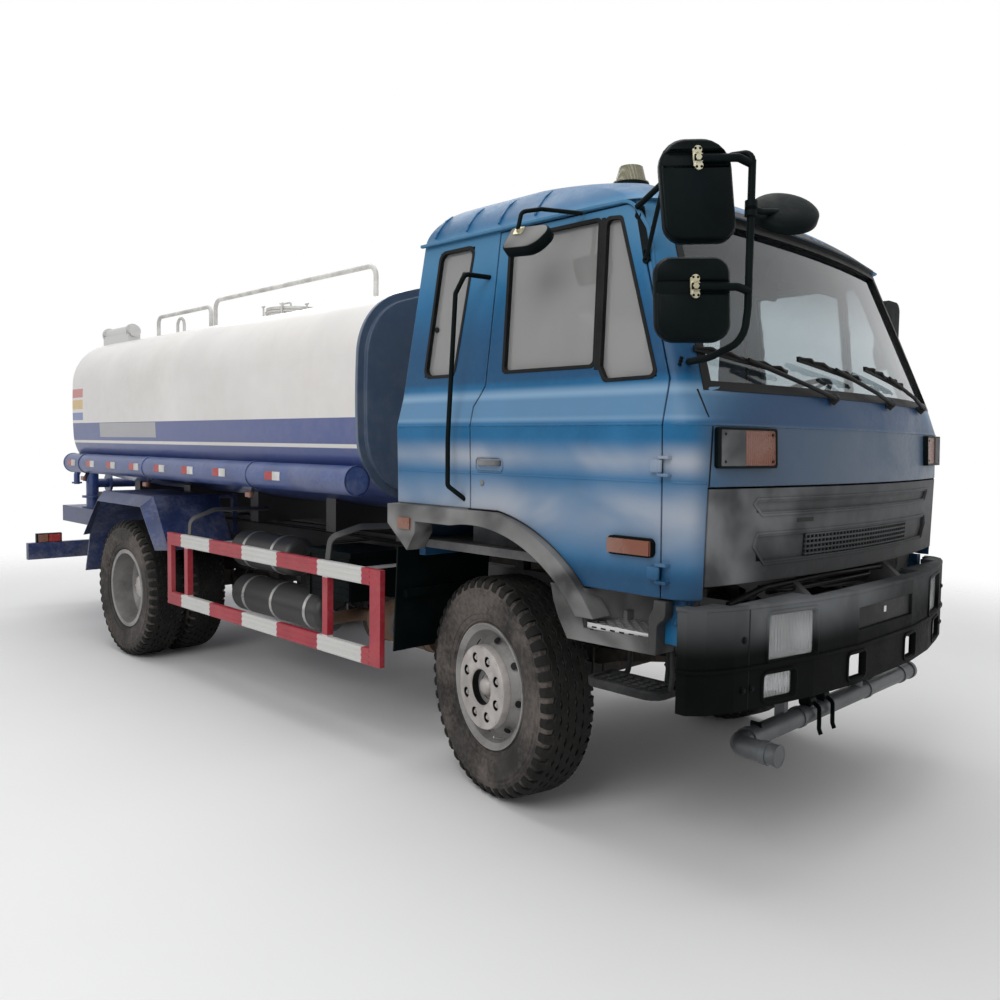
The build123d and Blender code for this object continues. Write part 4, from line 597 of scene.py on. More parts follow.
# ------------------------------------------------------------------ mesh helpers
class Shape:
    """Polygons of one piece, in mm from the rear axle, gathered before the mesh is made."""

    def __init__(self) -> None:
        """Starts empty."""
        self.verts: list[Point] = []
        self.faces: list[list[int]] = []
        self.slots: list[int] = []
        self.slot = 0

    def add(self, verts: Sequence[Sequence[float]], faces: Iterable[Sequence[int]]) -> "Shape":
        """Adds polygons.

        Args:
            verts: corner points.
            faces: indices into those points.

        Returns:
            This shape.
        """
        base = len(self.verts)
        self.verts += [tuple(v) for v in verts]
        for face in faces:
            self.faces.append([base + i for i in face])
            self.slots.append(self.slot)
        return self

    def box(self, x0: float, x1: float, y0: float, y1: float, z0: float, z1: float) -> "Shape":
        """Adds a box between two corners."""
        points = [(x, y, z) for x in (x0, x1) for y in (y0, y1) for z in (z0, z1)]
        return self.add(points, ((0, 1, 3, 2), (4, 6, 7, 5), (0, 4, 5, 1), (2, 3, 7, 6), (0, 2, 6, 4),
                                 (1, 5, 7, 3)))

    def rings(self, rings: Sequence[Sequence[Sequence[float]]], closed: bool = True, caps: bool = True,
              loop: bool = False) -> "Shape":
        """Adds a skin through rings of points.

        Args:
            rings: the rings, each with the same number of points.
            closed: whether each ring closes on itself.
            caps: whether the first and last ring are filled.
            loop: whether the last ring joins the first.

        Returns:
            This shape.
        """
        count = len(rings[0])
        verts = [p for ring in rings for p in ring]
        faces = []
        last = len(rings) if loop else len(rings) - 1
        for i in range(last):
            j = (i + 1) % len(rings)
            for k in range(count if closed else count - 1):
                m = (k + 1) % count
                faces.append((i * count + k, i * count + m, j * count + m, j * count + k))
        if caps and closed and not loop:
            faces.append(tuple(range(count)))
            faces.append(tuple((len(rings) - 1) * count + k for k in range(count))[::-1])
        return self.add(verts, faces)

    def prism(self, outline: Sequence[Point], by: Point) -> "Shape":
        """Adds a prism from an outline and the way it is carried."""
        other = [(p[0] + by[0], p[1] + by[1], p[2] + by[2]) for p in outline]
        return self.rings([list(outline), other])

    def lathe(self, profile: Outline, centre: Point, axis: Point, steps: int = 48,
              loop: bool = False) -> "Shape":
        """Adds a turned form.

        Args:
            profile: pairs of distance along the axis and radius.
            centre: point on the axis.
            axis: direction of the axis.
            steps: points round the axis.
            loop: whether the profile closes on itself.

        Returns:
            This shape.
        """
        out, u, v = axes_about(axis)
        mid = Vector(centre)
        rings = []
        for d, r in profile:
            rings.append([tuple(mid + out * d + (u * math.cos(t) + v * math.sin(t)) * r)
                          for t in (math.tau * k / steps for k in range(steps))])
        return self.rings(rings, loop=loop, caps=not loop)

    def rod(self, start: Sequence[float], end: Sequence[float], radius: float, steps: int = 14) -> "Shape":
        """Adds a round bar."""
        along = Vector(end) - Vector(start)
        return self.lathe([(0, radius), (along.length, radius)], tuple(start), tuple(along), steps)

    def pipe(self, points: Sequence[Sequence[float]], radius: float, bend: float = 0.0,
             steps: int = 10) -> "Shape":
        """Adds a round bar along a path, its corners rounded by a bend radius.

        Args:
            points: corners of the path.
            radius: the bar's radius.
            bend: bend radius.
            steps: points round the bar.

        Returns:
            This shape.
        """
        turns = (math.tau * k / steps for k in range(steps))
        section = [(radius * math.cos(t), radius * math.sin(t)) for t in turns]
        return self.sweep(rounded(points, bend), section)

    def sweep(self, path: Sequence[Vector], section: Outline) -> "Shape":
        """Carries a closed section along a path without twist.

        Args:
            path: points along the way.
            section: the closed section, across and up.

        Returns:
            This shape.
        """
        rings = []
        side: Vector | None = None
        for i, here in enumerate(path):
            ahead = path[min(i + 1, len(path) - 1)] - path[max(i - 1, 0)]
            ahead.normalize()
            if side is None:
                side = axes_about(tuple(ahead))[1]
            side = (side - ahead * side.dot(ahead)).normalized()
            up = ahead.cross(side)
            rings.append([tuple(here + side * a + up * b) for a, b in section])
        return self.rings(rings)

    def hexagon(self, centre: Point, axis: Point, across: float, high: float) -> "Shape":
        """Adds a nut or bolt head."""
        return self.lathe([(0, across * 0.577), (high, across * 0.577)], centre, axis, 6)


def axes_about(axis: Sequence[float]) -> tuple[Vector, Vector, Vector]:
    """A unit axis and two directions across it.

    Args:
        axis: any direction.

    Returns:
        The unit axis and the two directions.
    """
    out = Vector(axis).normalized()
    helper = Vector((0, 0, 1)) if abs(out.z) < 0.9 else Vector((1, 0, 0))
    u = helper.cross(out).normalized()
    return out, u, out.cross(u)


def oblong(x0: float, y0: float, x1: float, y1: float) -> list[Spot]:
    """The corners of a rectangle between two opposite ones."""
    return [(x0, y0), (x1, y0), (x1, y1), (x0, y1)]


def rounded(points: Sequence[Sequence[float]], bend: float, steps: int = 6) -> list[Vector]:
    """A path with its inner corners replaced by arcs.

    Args:
        points: corners of the path.
        bend: bend radius.
        steps: steps of each arc.

    Returns:
        The points of the rounded path.
    """
    path = [Vector(p) for p in points]
    if bend <= 0 or len(path) < 3:
        return path
    result = [path[0]]
    for before, here, after in zip(path, path[1:], path[2:]):
        a, b = before - here, after - here
        angle = a.angle(b)
        if angle > 3.1:
            result.append(here)
            continue
        reach = min(bend / math.tan(angle / 2), a.length * 0.49, b.length * 0.49)
        radius = reach * math.tan(angle / 2)
        p, q = here + a.normalized() * reach, here + b.normalized() * reach
        centre = here + (a.normalized() + b.normalized()).normalized() * math.hypot(reach, radius)
        for k in range(steps + 1):
            spot = p.lerp(q, k / steps) - centre
            result.append(centre + spot.normalized() * radius)
    result.append(path[-1])
    return result


def place(name: str, shape: Shape, body: str, finishes: Sequence[object], smooth: float = 35,
          bevel: float = 0.0, replaces: Sequence[str] = ()) -> bpy.types.Object:
    """Makes a piece from its polygons and fixes it to a body.

    Args:
        name: name of the piece.
        shape: its polygons.
        body: the body it rides on.
        finishes: one finish for each slot of the shape.
        smooth: angle under which edges are shaded smooth, in degrees.
        bevel: width of a rounding of its edges, in mm.
        replaces: solids that the piece stands for.

    Returns:
        The new object.
    """
    mesh = bpy.data.meshes.new(name)
    mesh.from_pydata([(metres(x), y / 1000, z / 1000) for x, y, z in shape.verts], [], shape.faces)
    for finish in finishes:
        mesh.materials.append(finish.material())
    mesh.polygons.foreach_set("material_index", shape.slots)
    work = bmesh.new()
    work.from_mesh(mesh)
    bmesh.ops.recalc_face_normals(work, faces=work.faces)
    work.to_mesh(mesh)
    work.free()
    mesh.shade_smooth()
    mesh.set_sharp_from_angle(angle=math.radians(smooth))
    piece = bpy.data.objects.new(name, mesh)
    bpy.context.scene.collection.objects.link(piece)
    if bevel:
        rounding = piece.modifiers.new("rounding", "BEVEL")
        rounding.width, rounding.segments, rounding.limit_method = bevel / 1000, 2, "ANGLE"
        rounding.angle_limit = math.radians(40)
        rounding.harden_normals = True
    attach(piece, body)
    if replaces:
        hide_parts(*replaces)
    LOG.info("%s: %d faces on %s", name, len(mesh.polygons), body)
    return piece


# ------------------------------------------------------------------ finishes of the solids
SOLID_FINISHES: dict[str, object] = {name: finish for finish, names in (
    (Finishes.CAB, "cab_back cab_sides cab_roof cab_front door_right door_left"),
    (Finishes.CHASSIS, "frame_rails cross_members tank_bearers tank_saddles fuel_tank air_tanks"),
    (Finishes.CAST, "front_axle leaf_springs rear_axle engine knuckle_right knuckle_left track_rod"),
    (Finishes.WHEEL, "front_rim_right front_rim_left rear_rims_right rear_rims_left"),
    (Finishes.TYRE, "front_tyre_right front_tyre_left rear_tyres_right rear_tyres_left"),
    (Lenses.GLASS, "cab_glass door_glass_right door_glass_left"),
    (Finishes.BLACK, "battery_box steering_wheel column_sleeve mirrors_right mirror_left grab_handles"),
    (Finishes.BLACK, "front_flaps"), (Finishes.STEP, "cab_steps"), (Lenses.CLEAR, "front_lamps"),
    (Lenses.AMBER, "cab_lamps door_lamp_right door_lamp_left"), (Finishes.WHITE, "tank_rails manhole_lid"),
    (Finishes.NAVY, "mudguards rear_platform"), (Finishes.PIPE, "side_tubes pump"),
    (Finishes.STEEL, "top_pipe"), (Finishes.PIPE_GREY, "spray_bar"),
    (Finishes.TANK, "tank"), (Finishes.GUARD, "side_guards"),
    (Finishes.BUMPER, "bumper"), (Finishes.GREY, "grille_panel"), (Finishes.FLARE, "arch_flares"),
    (Finishes.RUST, "exhaust"), (Finishes.FABRIC, "seats"), (Finishes.DASH, "dashboard"),
    (Finishes.INSIDE, "cab_floor")) for name in names.split()}


def dress_solids() -> None:
    """Gives every solid its finish."""
    for name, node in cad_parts.items():
        finish = SOLID_FINISHES[name]
        node.data.materials.clear()
        node.data.materials.append(finish.material())
        for polygon in node.data.polygons:
            polygon.material_index = 0
    LOG.info("%d solids dressed", len(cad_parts))


# ------------------------------------------------------------------ studio
@dataclass
class Studio:
    """Floor, lamps, backdrop and camera."""

    camera_at: Point = (6886, -3942, 1670)
    yaw: float = 2.362
    pitch: float = -0.062
    roll: float = 0.014
    lens: float = 31.92
    floor_size: float = 60

    def floor(self) -> None:
        """A pale floor with a faint cloudiness."""
        n = Nodes("floor_pale")
        tone = n.mix(n.noise(0.8, 3), (0.86, 0.86, 0.86), (0.90, 0.90, 0.90))
        n.shader(tone, 0.8)
        far = n.math("SQRT", n.math("ADD", n.math("POWER", n.xyz[0], 2.0), n.math("POWER", n.xyz[1], 2.0)))
        clear = n.tree.nodes.new("ShaderNodeBsdfTransparent")
        blend = n.tree.nodes.new("ShaderNodeMixShader")
        n.put(blend.inputs[0], n.ramp(far, 5, 9))
        n.tree.links.new(n.out.inputs["Surface"].links[0].from_socket, blend.inputs[1])
        n.tree.links.new(clear.outputs[0], blend.inputs[2])
        n.tree.links.new(blend.outputs[0], n.out.inputs["Surface"])
        mesh = bpy.data.meshes.new("floor")
        s = self.floor_size
        mesh.from_pydata([(-s, -s, 0), (s, -s, 0), (s, s, 0), (-s, s, 0)], [], [(0, 1, 2, 3)])
        mesh.materials.append(n.material)
        floor = bpy.data.objects.new("floor", mesh)
        floor.location.z = -0.002
        bpy.context.scene.collection.objects.link(floor)

    def lamps(self) -> None:
        """Soft lamps above and beside."""
        for name, at, size, power in (("key", (5, -9, 8), 7, 420), ("top", (0.0, 0.0, 9), 9, 380),
                                      ("fill", (11, 2.0, 5), 6, 30), ("rear", (-9, 6, 7), 7, 200)):
            light = bpy.data.lights.new(name, "AREA")
            light.shape, light.size, light.energy = "DISK", size, power
            lamp = bpy.data.objects.new(name, light)
            lamp.location = at
            lamp.rotation_euler = (Vector((0, 0, 1.2)) - Vector(at)).to_track_quat("-Z", "Y").to_euler()
            bpy.context.scene.collection.objects.link(lamp)

    def world(self) -> None:
        """White to the camera and in reflections, softer as light."""
        world = bpy.data.worlds.new("studio")
        world.use_nodes = True
        tree = world.node_tree
        back = tree.nodes["Background"]
        path = tree.nodes.new("ShaderNodeLightPath")
        total = None
        for word in ("Is Camera Ray", "Is Glossy Ray", "Is Transmission Ray"):
            if total is None:
                total = path.outputs[word]
                continue
            add = tree.nodes.new("ShaderNodeMath")
            add.operation, add.use_clamp = "MAXIMUM", True
            tree.links.new(total, add.inputs[0])
            tree.links.new(path.outputs[word], add.inputs[1])
            total = add.outputs[0]
        level = tree.nodes.new("ShaderNodeMapRange")
        level.inputs[3].default_value, level.inputs[4].default_value = 0.42, 1.0
        tree.links.new(total, level.inputs[0])
        tree.links.new(level.outputs[0], back.inputs["Strength"])
        back.inputs["Color"].default_value = (1, 1, 1, 1)
        bpy.context.scene.world = world

    def camera(self) -> None:
        """The camera, set from its yaw, pitch and roll."""
        ahead = Vector((math.cos(self.yaw) * math.cos(self.pitch), math.sin(self.yaw) * math.cos(self.pitch),
                        math.sin(self.pitch)))
        level = Vector((math.sin(self.yaw), -math.cos(self.yaw), 0.0))
        over = level.cross(ahead)
        right = math.cos(self.roll) * level + math.sin(self.roll) * over
        up = -math.sin(self.roll) * level + math.cos(self.roll) * over
        data = bpy.data.cameras.new("camera")
        data.lens, data.sensor_width = self.lens, 36
        data.clip_end = 200
        cam = bpy.data.objects.new("camera", data)
        x, y, z = self.camera_at
        turn = Matrix((right, up, -ahead)).transposed().to_4x4()
        cam.matrix_world = Matrix.Translation((metres(x), y / 1000, z / 1000)) @ turn
        bpy.context.scene.collection.objects.link(cam)
        bpy.context.scene.camera = cam

    def build(self) -> None:
        """Builds the whole studio."""
        self.floor()
        self.lamps()
        self.world()
        self.camera()
        bpy.context.scene.view_settings.view_transform = "Standard"


# ------------------------------------------------------------------ wheels
@dataclass
class Wheel:
    """A tyre with its tread and the details of its rim, about an axis that points outwards."""

    name: str
    body: str
    centre: Point
    axis: Point
    tyre_node: str
    offsets: tuple[float, ...] = (0.0,)
    hub_face: float = 150
    bolt_ring: float = 142
    pitches: int = 46
    half: float = 139
    zigzag: float = 5.5
    # middle and width of each rib across the tread
    rows: Outline = ((-77, 30), (-41, 34), (0.0, 38), (41, 34), (77, 30))

    def spot(self, along: float, radius: float, angle: float) -> Point:
        """A point by its distance along the axis, its radius and its angle.

        Args:
            along: distance along the axis.
            radius: distance from the axis.
            angle: in radians.

        Returns:
            The point.
        """
        out, u, v = axes_about(self.axis)
        p = Vector(self.centre) + out * along + (u * math.cos(angle) + v * math.sin(angle)) * radius
        return tuple(p)

    def carcass(self, shape: Shape, off: float) -> None:
        """The tyre's body with the rings on its walls.

        Args:
            shape: where the polygons go.
            off: distance of the tyre's middle along the axis.
        """
        wall = [(102, 279), (104, 306), (112, 312), (113, 320), (117, 322), (121, 345),
                (125, 347), (128, 372), (134, 400), (137, 425), (138.5, 428), (138.5, 436),
                (136.5, 438), (136.5, 446), (138.5, 448), (138, 456), (135.5, 458), (134.5, 470),
                (130, 484), (118, 500), (84, 508), (40, 510)]
        profile = [(off - d, r) for d, r in wall] + [(off + d, r) for d, r in reversed(wall)]
        shape.slot = 1
        shape.lathe(profile, self.centre, self.axis, 72, loop=True)
        shape.slot = 0

    def block(self, shape: Shape, corners: Outline, low: float, a0: float, a1: float, skew: float) -> None:
        """One tread block.

        Args:
            shape: where the polygons go.
            corners: pairs of place along the axis and radius of the top, from inside out.
            low: radius of the block's root.
            a0: angle at the start.
            a1: angle at the end.
            skew: sideways shift from start to end.
        """
        rings = []
        for angle, shift in ((a0, -skew), ((a0 + a1) / 2, skew), (a1, -skew)):
            top = [self.spot(d + shift, r, angle) for d, r in corners]
            root = [self.spot(d + shift, min(low, r - 8), angle) for d, r in reversed(corners)]
            rings.append(top + root)
        shape.rings(rings)

    def tread(self, shape: Shape, off: float) -> None:
        """Three zigzag ribs and the lugs of both shoulders.

        Args:
            shape: where the polygons go.
            off: distance of the tyre's middle along the axis.
        """
        step = math.tau / self.pitches
        for k, (mid, width) in enumerate(self.rows):
            rings = []
            for i in range(2 * self.pitches):
                shift = off + mid + (self.zigzag if (i + k) % 2 else -self.zigzag)
                a, b = shift - width / 2, shift + width / 2
                rings.append([self.spot(d, r, i * step / 2) for d, r in (
                    (a, 500), (a, 520.5), (a + 2, 522.6), (b - 2, 522.6), (b, 520.5), (b, 500))])
            shape.rings(rings, loop=True)
        for i in range(self.pitches):
            for side in (-1, 1):
                edge = [(off + side * 88, 521.5), (off + side * 112, 517), (off + side * 130, 503),
                        (off + side * 137, 478)]
                self.block(shape, edge, 492, i * step, (i + 0.62) * step, 2.0)

    def build_tyre(self) -> None:
        """Builds the tyres of this wheel in place of their plain solids."""
        shape = Shape()
        for off in self.offsets:
            self.carcass(shape, off)
            self.tread(shape, off)
        place(f"{self.name}_tread", shape, self.body, [Finishes.TYRE, Finishes.WALL], 28,
              replaces=[self.tyre_node])

    def nuts(self, shape: Shape, face: float, count: int, radius: float, across: float) -> None:
        """A ring of nuts with the ends of their studs.

        Args:
            shape: where the polygons go.
            face: place of the ring along the axis.
            count: how many nuts.
            radius: radius of the ring.
            across: width over the flats.
        """
        out = Vector(self.axis).normalized()
        for i in range(count):
            spot = self.spot(face, radius, math.tau * (i + 0.3) / count)
            shape.hexagon(spot, self.axis, across, 20)
            shape.rod(spot, tuple(Vector(spot) + out * 30), across * 0.28, 8)

    def front_rim(self) -> None:
        """Rim, proud plate with eight cups and nuts, and the domed hub."""
        rim = Shape()
        f = self.hub_face
        rim.lathe([(-114, 270), (-114, 300), (-104, 300), (-102, 279), (-60, 262), (60, 262), (102, 279),
                   (104, 300), (114, 300), (114, 293), (108, 286), (98, 268), (66, 256), (52, 236), (70, 214),
                   (98, 202), (112, 196), (112, 60), (96, 60), (96, 186), (60, 200), (36, 236), (40, 252),
                   (-60, 252)], self.centre, self.axis, 64, loop=True)
        rim.slot = 1
        self.plate(rim, f)
        place(f"{self.name}_rim", rim, self.body, [Finishes.WHEEL, Finishes.HUB], 40,
              replaces=[f"front_rim_{self.name[6:]}"])
        # The holes are black rubber discs and linings: painted shade in the bolt cups, the hub opening and
        # the hand holes.
        holes, metal = Shape(), Shape()
        for i in range(8):
            angle = math.tau * (i + 0.5) / 8
            holes.lathe([(0, 26), (1, 26)], self.spot(f - 26, self.bolt_ring, angle), self.axis, 20)
            holes.lathe(oblong(-25, 25, -2, 24), self.spot(f, self.bolt_ring, angle), self.axis, 20,
                        loop=True)
            spot = self.spot(f - 26, self.bolt_ring, angle)
            metal.hexagon(spot, self.axis, 27, 18)
            metal.rod(spot, self.spot(f - 2, self.bolt_ring, angle), 8, 10)
        holes.lathe(oblong(f - 40, 84, f - 3, 83), self.centre, self.axis, 40, loop=True)
        for i in range(8):
            angle = math.tau * (i + 0.8) / 8
            a = Vector(self.spot(60, 236, angle))
            b = Vector(self.spot(92, 204, angle))
            out = (Vector(self.axis).normalized() + (
                Vector(self.spot(0, 1, angle)) - Vector(self.centre))).normalized()
            mid = (a + b) / 2 + out * 9
            holes.lathe([(0, 17), (3, 17)], tuple(mid), tuple(out), 18)
        dome = [(60, 70), (f - 48, 68), (f - 46, 50), (f - 30, 44), (f - 14, 34), (f - 6, 18), (f - 4, 0.1)]
        metal.lathe(dome, self.centre, self.axis, 32)
        place(f"{self.name}_holes", holes, self.body, [Finishes.RUBBER])
        place(f"{self.name}_nuts", metal, self.body, [Finishes.HUB], 40)
        stem = [self.spot(along, radius, -1.2) for along, radius in ((70, 250), (100, 244), (128, 236))]
        valve = Shape().pipe(stem, 5, 8)
        place(f"{self.name}_valve", valve, self.body, [Finishes.STEEL])

    def plate(self, shape: Shape, face: float) -> None:
        """The thick hub plate with its open middle and eight round bolt holes.

        Args:
            shape: where the polygons go.
            face: place of its face along the axis.
        """
        shape.lathe([(110, 199), (face - 8, 199), (face - 2, 197), (face, 193), (face, 192), (108, 192)],
                    self.centre, self.axis, 64, loop=True)
        shape.lathe([(108, 84), (face - 4, 84), (face, 88), (face, 90), (108, 90)], self.centre, self.axis,
                    64, loop=True)
        count = 16
        for i in range(8):
            middle = math.tau * (i + 0.5) / 8
            hole, rim = [], []
            for k in range(4 * count):
                t = math.tau * k / (4 * count)
                hole.append((self.bolt_ring + 25 * math.cos(t), middle + 25 * math.sin(t) / self.bolt_ring))
                # the same direction carried to the edge of this hole's eighth of the plate
                c, q = math.cos(t), math.sin(t)
                reach = min((192 - self.bolt_ring) / c if c > 0 else (self.bolt_ring - 88) / -c if c < 0
                            else 1e9, (math.pi / 8) * self.bolt_ring / abs(q) if abs(q) > 1e-6 else 1e9)
                rim.append((self.bolt_ring + reach * c, middle + reach * q / self.bolt_ring))
            shape.rings([[self.spot(face, r, a) for r, a in rim], [self.spot(face, r, a) for r, a in hole],
                         [self.spot(face - 24, r, a) for r, a in hole]], caps=False)

    def rear_rim(self) -> None:
        """Nuts, hub cover and hand holes of the twin rims, the holes as black discs of painted shade."""
        metal, holes = Shape(), Shape()
        self.nuts(metal, 15, 8, 165, 30)
        metal.lathe([(140, 88), (166, 84), (172, 70), (174, 0.1)], self.centre, self.axis, 32)
        for i in range(8):
            metal.hexagon(self.spot(150, 74, math.tau * i / 8), self.axis, 15, 22)
            # Black discs stand for the hand holes: painted shade in the openings.
            holes.lathe([(0, 22), (4, 22)], self.spot(62, 242, math.tau * (i + 0.5) / 8), self.axis, 18)
        place(f"{self.name}_nuts", metal, self.body, [Finishes.HUB], 40)
        place(f"{self.name}_holes", holes, self.body, [Finishes.RUBBER])


def build_wheels() -> None:
    """Builds the four wheels."""
    for side in Side:
        s = side.value
        axis = (s * math.sin(REST_STEER), s * math.cos(REST_STEER), 0.0)
        centre = (WHEELBASE + axis[0] * FRONT_OFFSET, s * KINGPIN_Y + axis[1] * FRONT_OFFSET, AXLE_Z)
        front = Wheel(f"front_{side.word}", f"front_wheel_{side.word}", centre, axis,
                      f"front_tyre_{side.word}")
        front.build_tyre()
        front.front_rim()
        rear = Wheel(f"rear_{side.word}", f"rear_wheels_{side.word}", (0.0, s * REAR_Y, AXLE_Z),
                     (0.0, s, 0.0), f"rear_tyres_{side.word}", (-TWIN_OFFSET, TWIN_OFFSET))
        rear.build_tyre()
        rear.rear_rim()


# ------------------------------------------------------------------ cab skin
@dataclass
class CabSkin:
    """Where the cab's outer surface lies, from its plan outlines at several heights."""

    # height, rear X, half width, X where the front corner starts, corner X, corner half width, X of the nose
    levels: Sequence[Sequence[float]] = (
        (1105, 3390, 1195, 4985, 5120, 1085, 5225),
        (1540, 3390, 1203, 4985, 5128, 1092, 5240),
        (1755, 3390, 1210, 4980, 5122, 1095, 5228),
        (1890, 3398, 1178, 4950, 5082, 1075, 5205),
        (2640, 3450, 1085, 4690, 4790, 965, 4868),
    )
    steps: int = 12

    @staticmethod
    def arc(a: Vector, b: Vector, c: Vector, count: int) -> list[Vector]:
        """Points on the arc through three points in plan.

        Args:
            a: first point.
            b: a point on the way.
            c: last point.
            count: number of steps.

        Returns:
            The points, both ends included.
        """
        d = 2 * (a.x * (b.y - c.y) + b.x * (c.y - a.y) + c.x * (a.y - b.y))
        ux = (a.length_squared * (b.y - c.y) + b.length_squared * (c.y - a.y) + c.length_squared * (
            a.y - b.y)) / d
        uy = (a.length_squared * (c.x - b.x) + b.length_squared * (a.x - c.x) + c.length_squared * (
            b.x - a.x)) / d
        mid = Vector((ux, uy))
        radius = (a - mid).length
        t0 = math.atan2(a.y - uy, a.x - ux)
        t1 = math.atan2(c.y - uy, c.x - ux)
        return [mid
                + Vector((math.cos(t0 + (t1 - t0) * k / count),
                          math.sin(t0 + (t1 - t0) * k / count))) * radius for k in range(count + 1)]

    def plan(self, level: Sequence[float]) -> list[Vector]:
        """The front of one outline from the right side to the middle.

        Args:
            level: a row of the table of levels.

        Returns:
            The outline's points.
        """
        _, _, half, start, corner_x, corner_y, nose = level
        a, c = Vector((start, -half)), Vector((corner_x, -corner_y))
        b = Vector(((start + corner_x) / 2 + 22, -((half + corner_y) / 2 + 18)))
        front = self.arc(c, Vector((nose, 0.0)), Vector((corner_x, corner_y)), 2 * self.steps)
        return self.arc(a, b, c, self.steps) + front[1:self.steps + 1]

    def row(self, z: float) -> list[Vector]:
        """The right-hand front outline at any height, in X and Y.

        Args:
            z: the height.

        Returns:
            The outline's points.
        """
        rows = self.levels
        i = max(0, min(len(rows) - 2, sum(z > level[0] for level in rows) - 1))
        share = (z - rows[i][0]) / (rows[i + 1][0] - rows[i][0])
        return [p.lerp(q, share) for p, q in zip(self.plan(rows[i]), self.plan(rows[i + 1]))]

    def half(self, z: float) -> float:
        """Half width of the flat side at a height."""
        return -self.row(z)[0].y

    def front(self, y: float, z: float, out: float = 0.0) -> Point:
        """A point on the front skin at a given Y and height, moved out by a distance.

        Args:
            y: place across.
            z: the height.
            out: distance off the skin.

        Returns:
            The point.
        """
        line = self.row(z)
        y_in = -abs(y)
        for p, q in zip(line, line[1:]):
            if p.y <= y_in <= q.y:
                here = p.lerp(q, (y_in - p.y) / max(1e-6, q.y - p.y))
                across = (q - p).normalized()
                n = Vector((across.y, -across.x))
                return here.x + n.x * out, math.copysign(abs(here.y + n.y * out), y), z
        return line[-1].x + out, y, z

    def side(self, x: float, z: float, sign: int, out: float = 0.0) -> Point:
        """A point on a side's skin, moved out by a distance.

        Args:
            x: place along.
            z: the height.
            sign: 1 on the left, -1 on the right.
            out: distance off the skin.

        Returns:
            The point.
        """
        line = self.row(z)
        y = line[0].y
        for p, q in zip(line, line[1:]):
            if p.x <= x <= q.x:
                y = p.lerp(q, (x - p.x) / (q.x - p.x)).y
        return x, -sign * (y - out) if sign > 0 else y - out, z


SKIN = CabSkin()
ROOF = CabSkin(((2640, 3432, 1098, 4705, 4815, 975, 4895), (2700, 3440, 1070, 4600, 4735, 935, 4830),
                (2765, 3475, 1015, 4400, 4620, 865, 4705), (2825, 3560, 925, 4080, 4420, 770, 4592),
                (2860, 3740, 760, 3950, 4270, 610, 4508)))


def frame_strip(points: Sequence[Point], inner: Sequence[Point], push: Callable[[Point, float], Point],
                low: float, high: float) -> Shape:
    """A flat frame between two outlines, thick along the skin's own normal.

    Args:
        points: the outer outline.
        inner: the inner outline, with as many points.
        push: moves a point off the skin by a distance.
        low: where the frame's back lies.
        high: where its face lies.

    Returns:
        The frame.
    """
    rings = []
    for p, q in zip(points, inner):
        rings.append([push(p, low), push(p, high), push(q, high), push(q, low)])
    return Shape().rings(rings, loop=True)


def grown(outline: Outline, by: float) -> list[Spot]:
    """A plane outline with its sides moved outwards.

    Args:
        outline: the outline's corners.
        by: the distance.

    Returns:
        The moved corners.
    """
    area = sum(a[0] * b[1] - b[0] * a[1] for a, b in zip(outline, [*outline[1:], outline[0]]))
    sign = 1.0 if area > 0 else -1.0
    result = []
    count = len(outline)
    for i in range(count):
        a, b, c = (Vector(outline[(i + k) % count]) for k in (-1, 0, 1))
        d0, d1 = (b - a).normalized(), (c - b).normalized()
        n0, n1 = Vector((d0.y, -d0.x)) * sign, Vector((d1.y, -d1.x)) * sign
        mid = (n0 + n1).normalized()
        result.append(tuple(b + mid * by / max(0.35, mid.dot(n0))))
    return result


def soft_corners(outline: Outline, radius: float | Sequence[float], steps: int = 4) -> list[Spot]:
    """A plane outline with its corners rounded by one radius or by one for each.

    Args:
        outline: the outline's corners.
        radius: one radius, or one for each corner.
        steps: steps of each arc.

    Returns:
        The rounded outline.
    """
    count = len(outline)
    result = []
    for i in range(count):
        a, b, c = (Vector((*outline[(i + k) % count], 0.0)) for k in (-1, 0, 1))
        bend = radius if isinstance(radius, (int, float)) else radius[i]
        arc = rounded([a, b, c], bend, steps)[1:-1]
        result += [(p.x, p.y) for p in arc]
    return result


def trimmed(outline: Outline, low: float, up: float) -> list[Spot]:
    """The part of a plane outline that lies between two heights.

    Args:
        outline: the outline's corners.
        low: lower height.
        up: upper height.

    Returns:
        The corners of that part.
    """
    result = list(outline)
    for limit, sign in ((low, 1), (up, -1)):
        kept = []
        for (x0, y0), (x1, y1) in zip(result, [*result[1:], result[0]]):
            inside, after = sign * (y0 - limit) >= 0, sign * (y1 - limit) >= 0
            if inside:
                kept.append((x0, y0))
            if inside != after:
                kept.append((x0 + (x1 - x0) * (limit - y0) / (y1 - y0), limit))
        result = kept
    return result


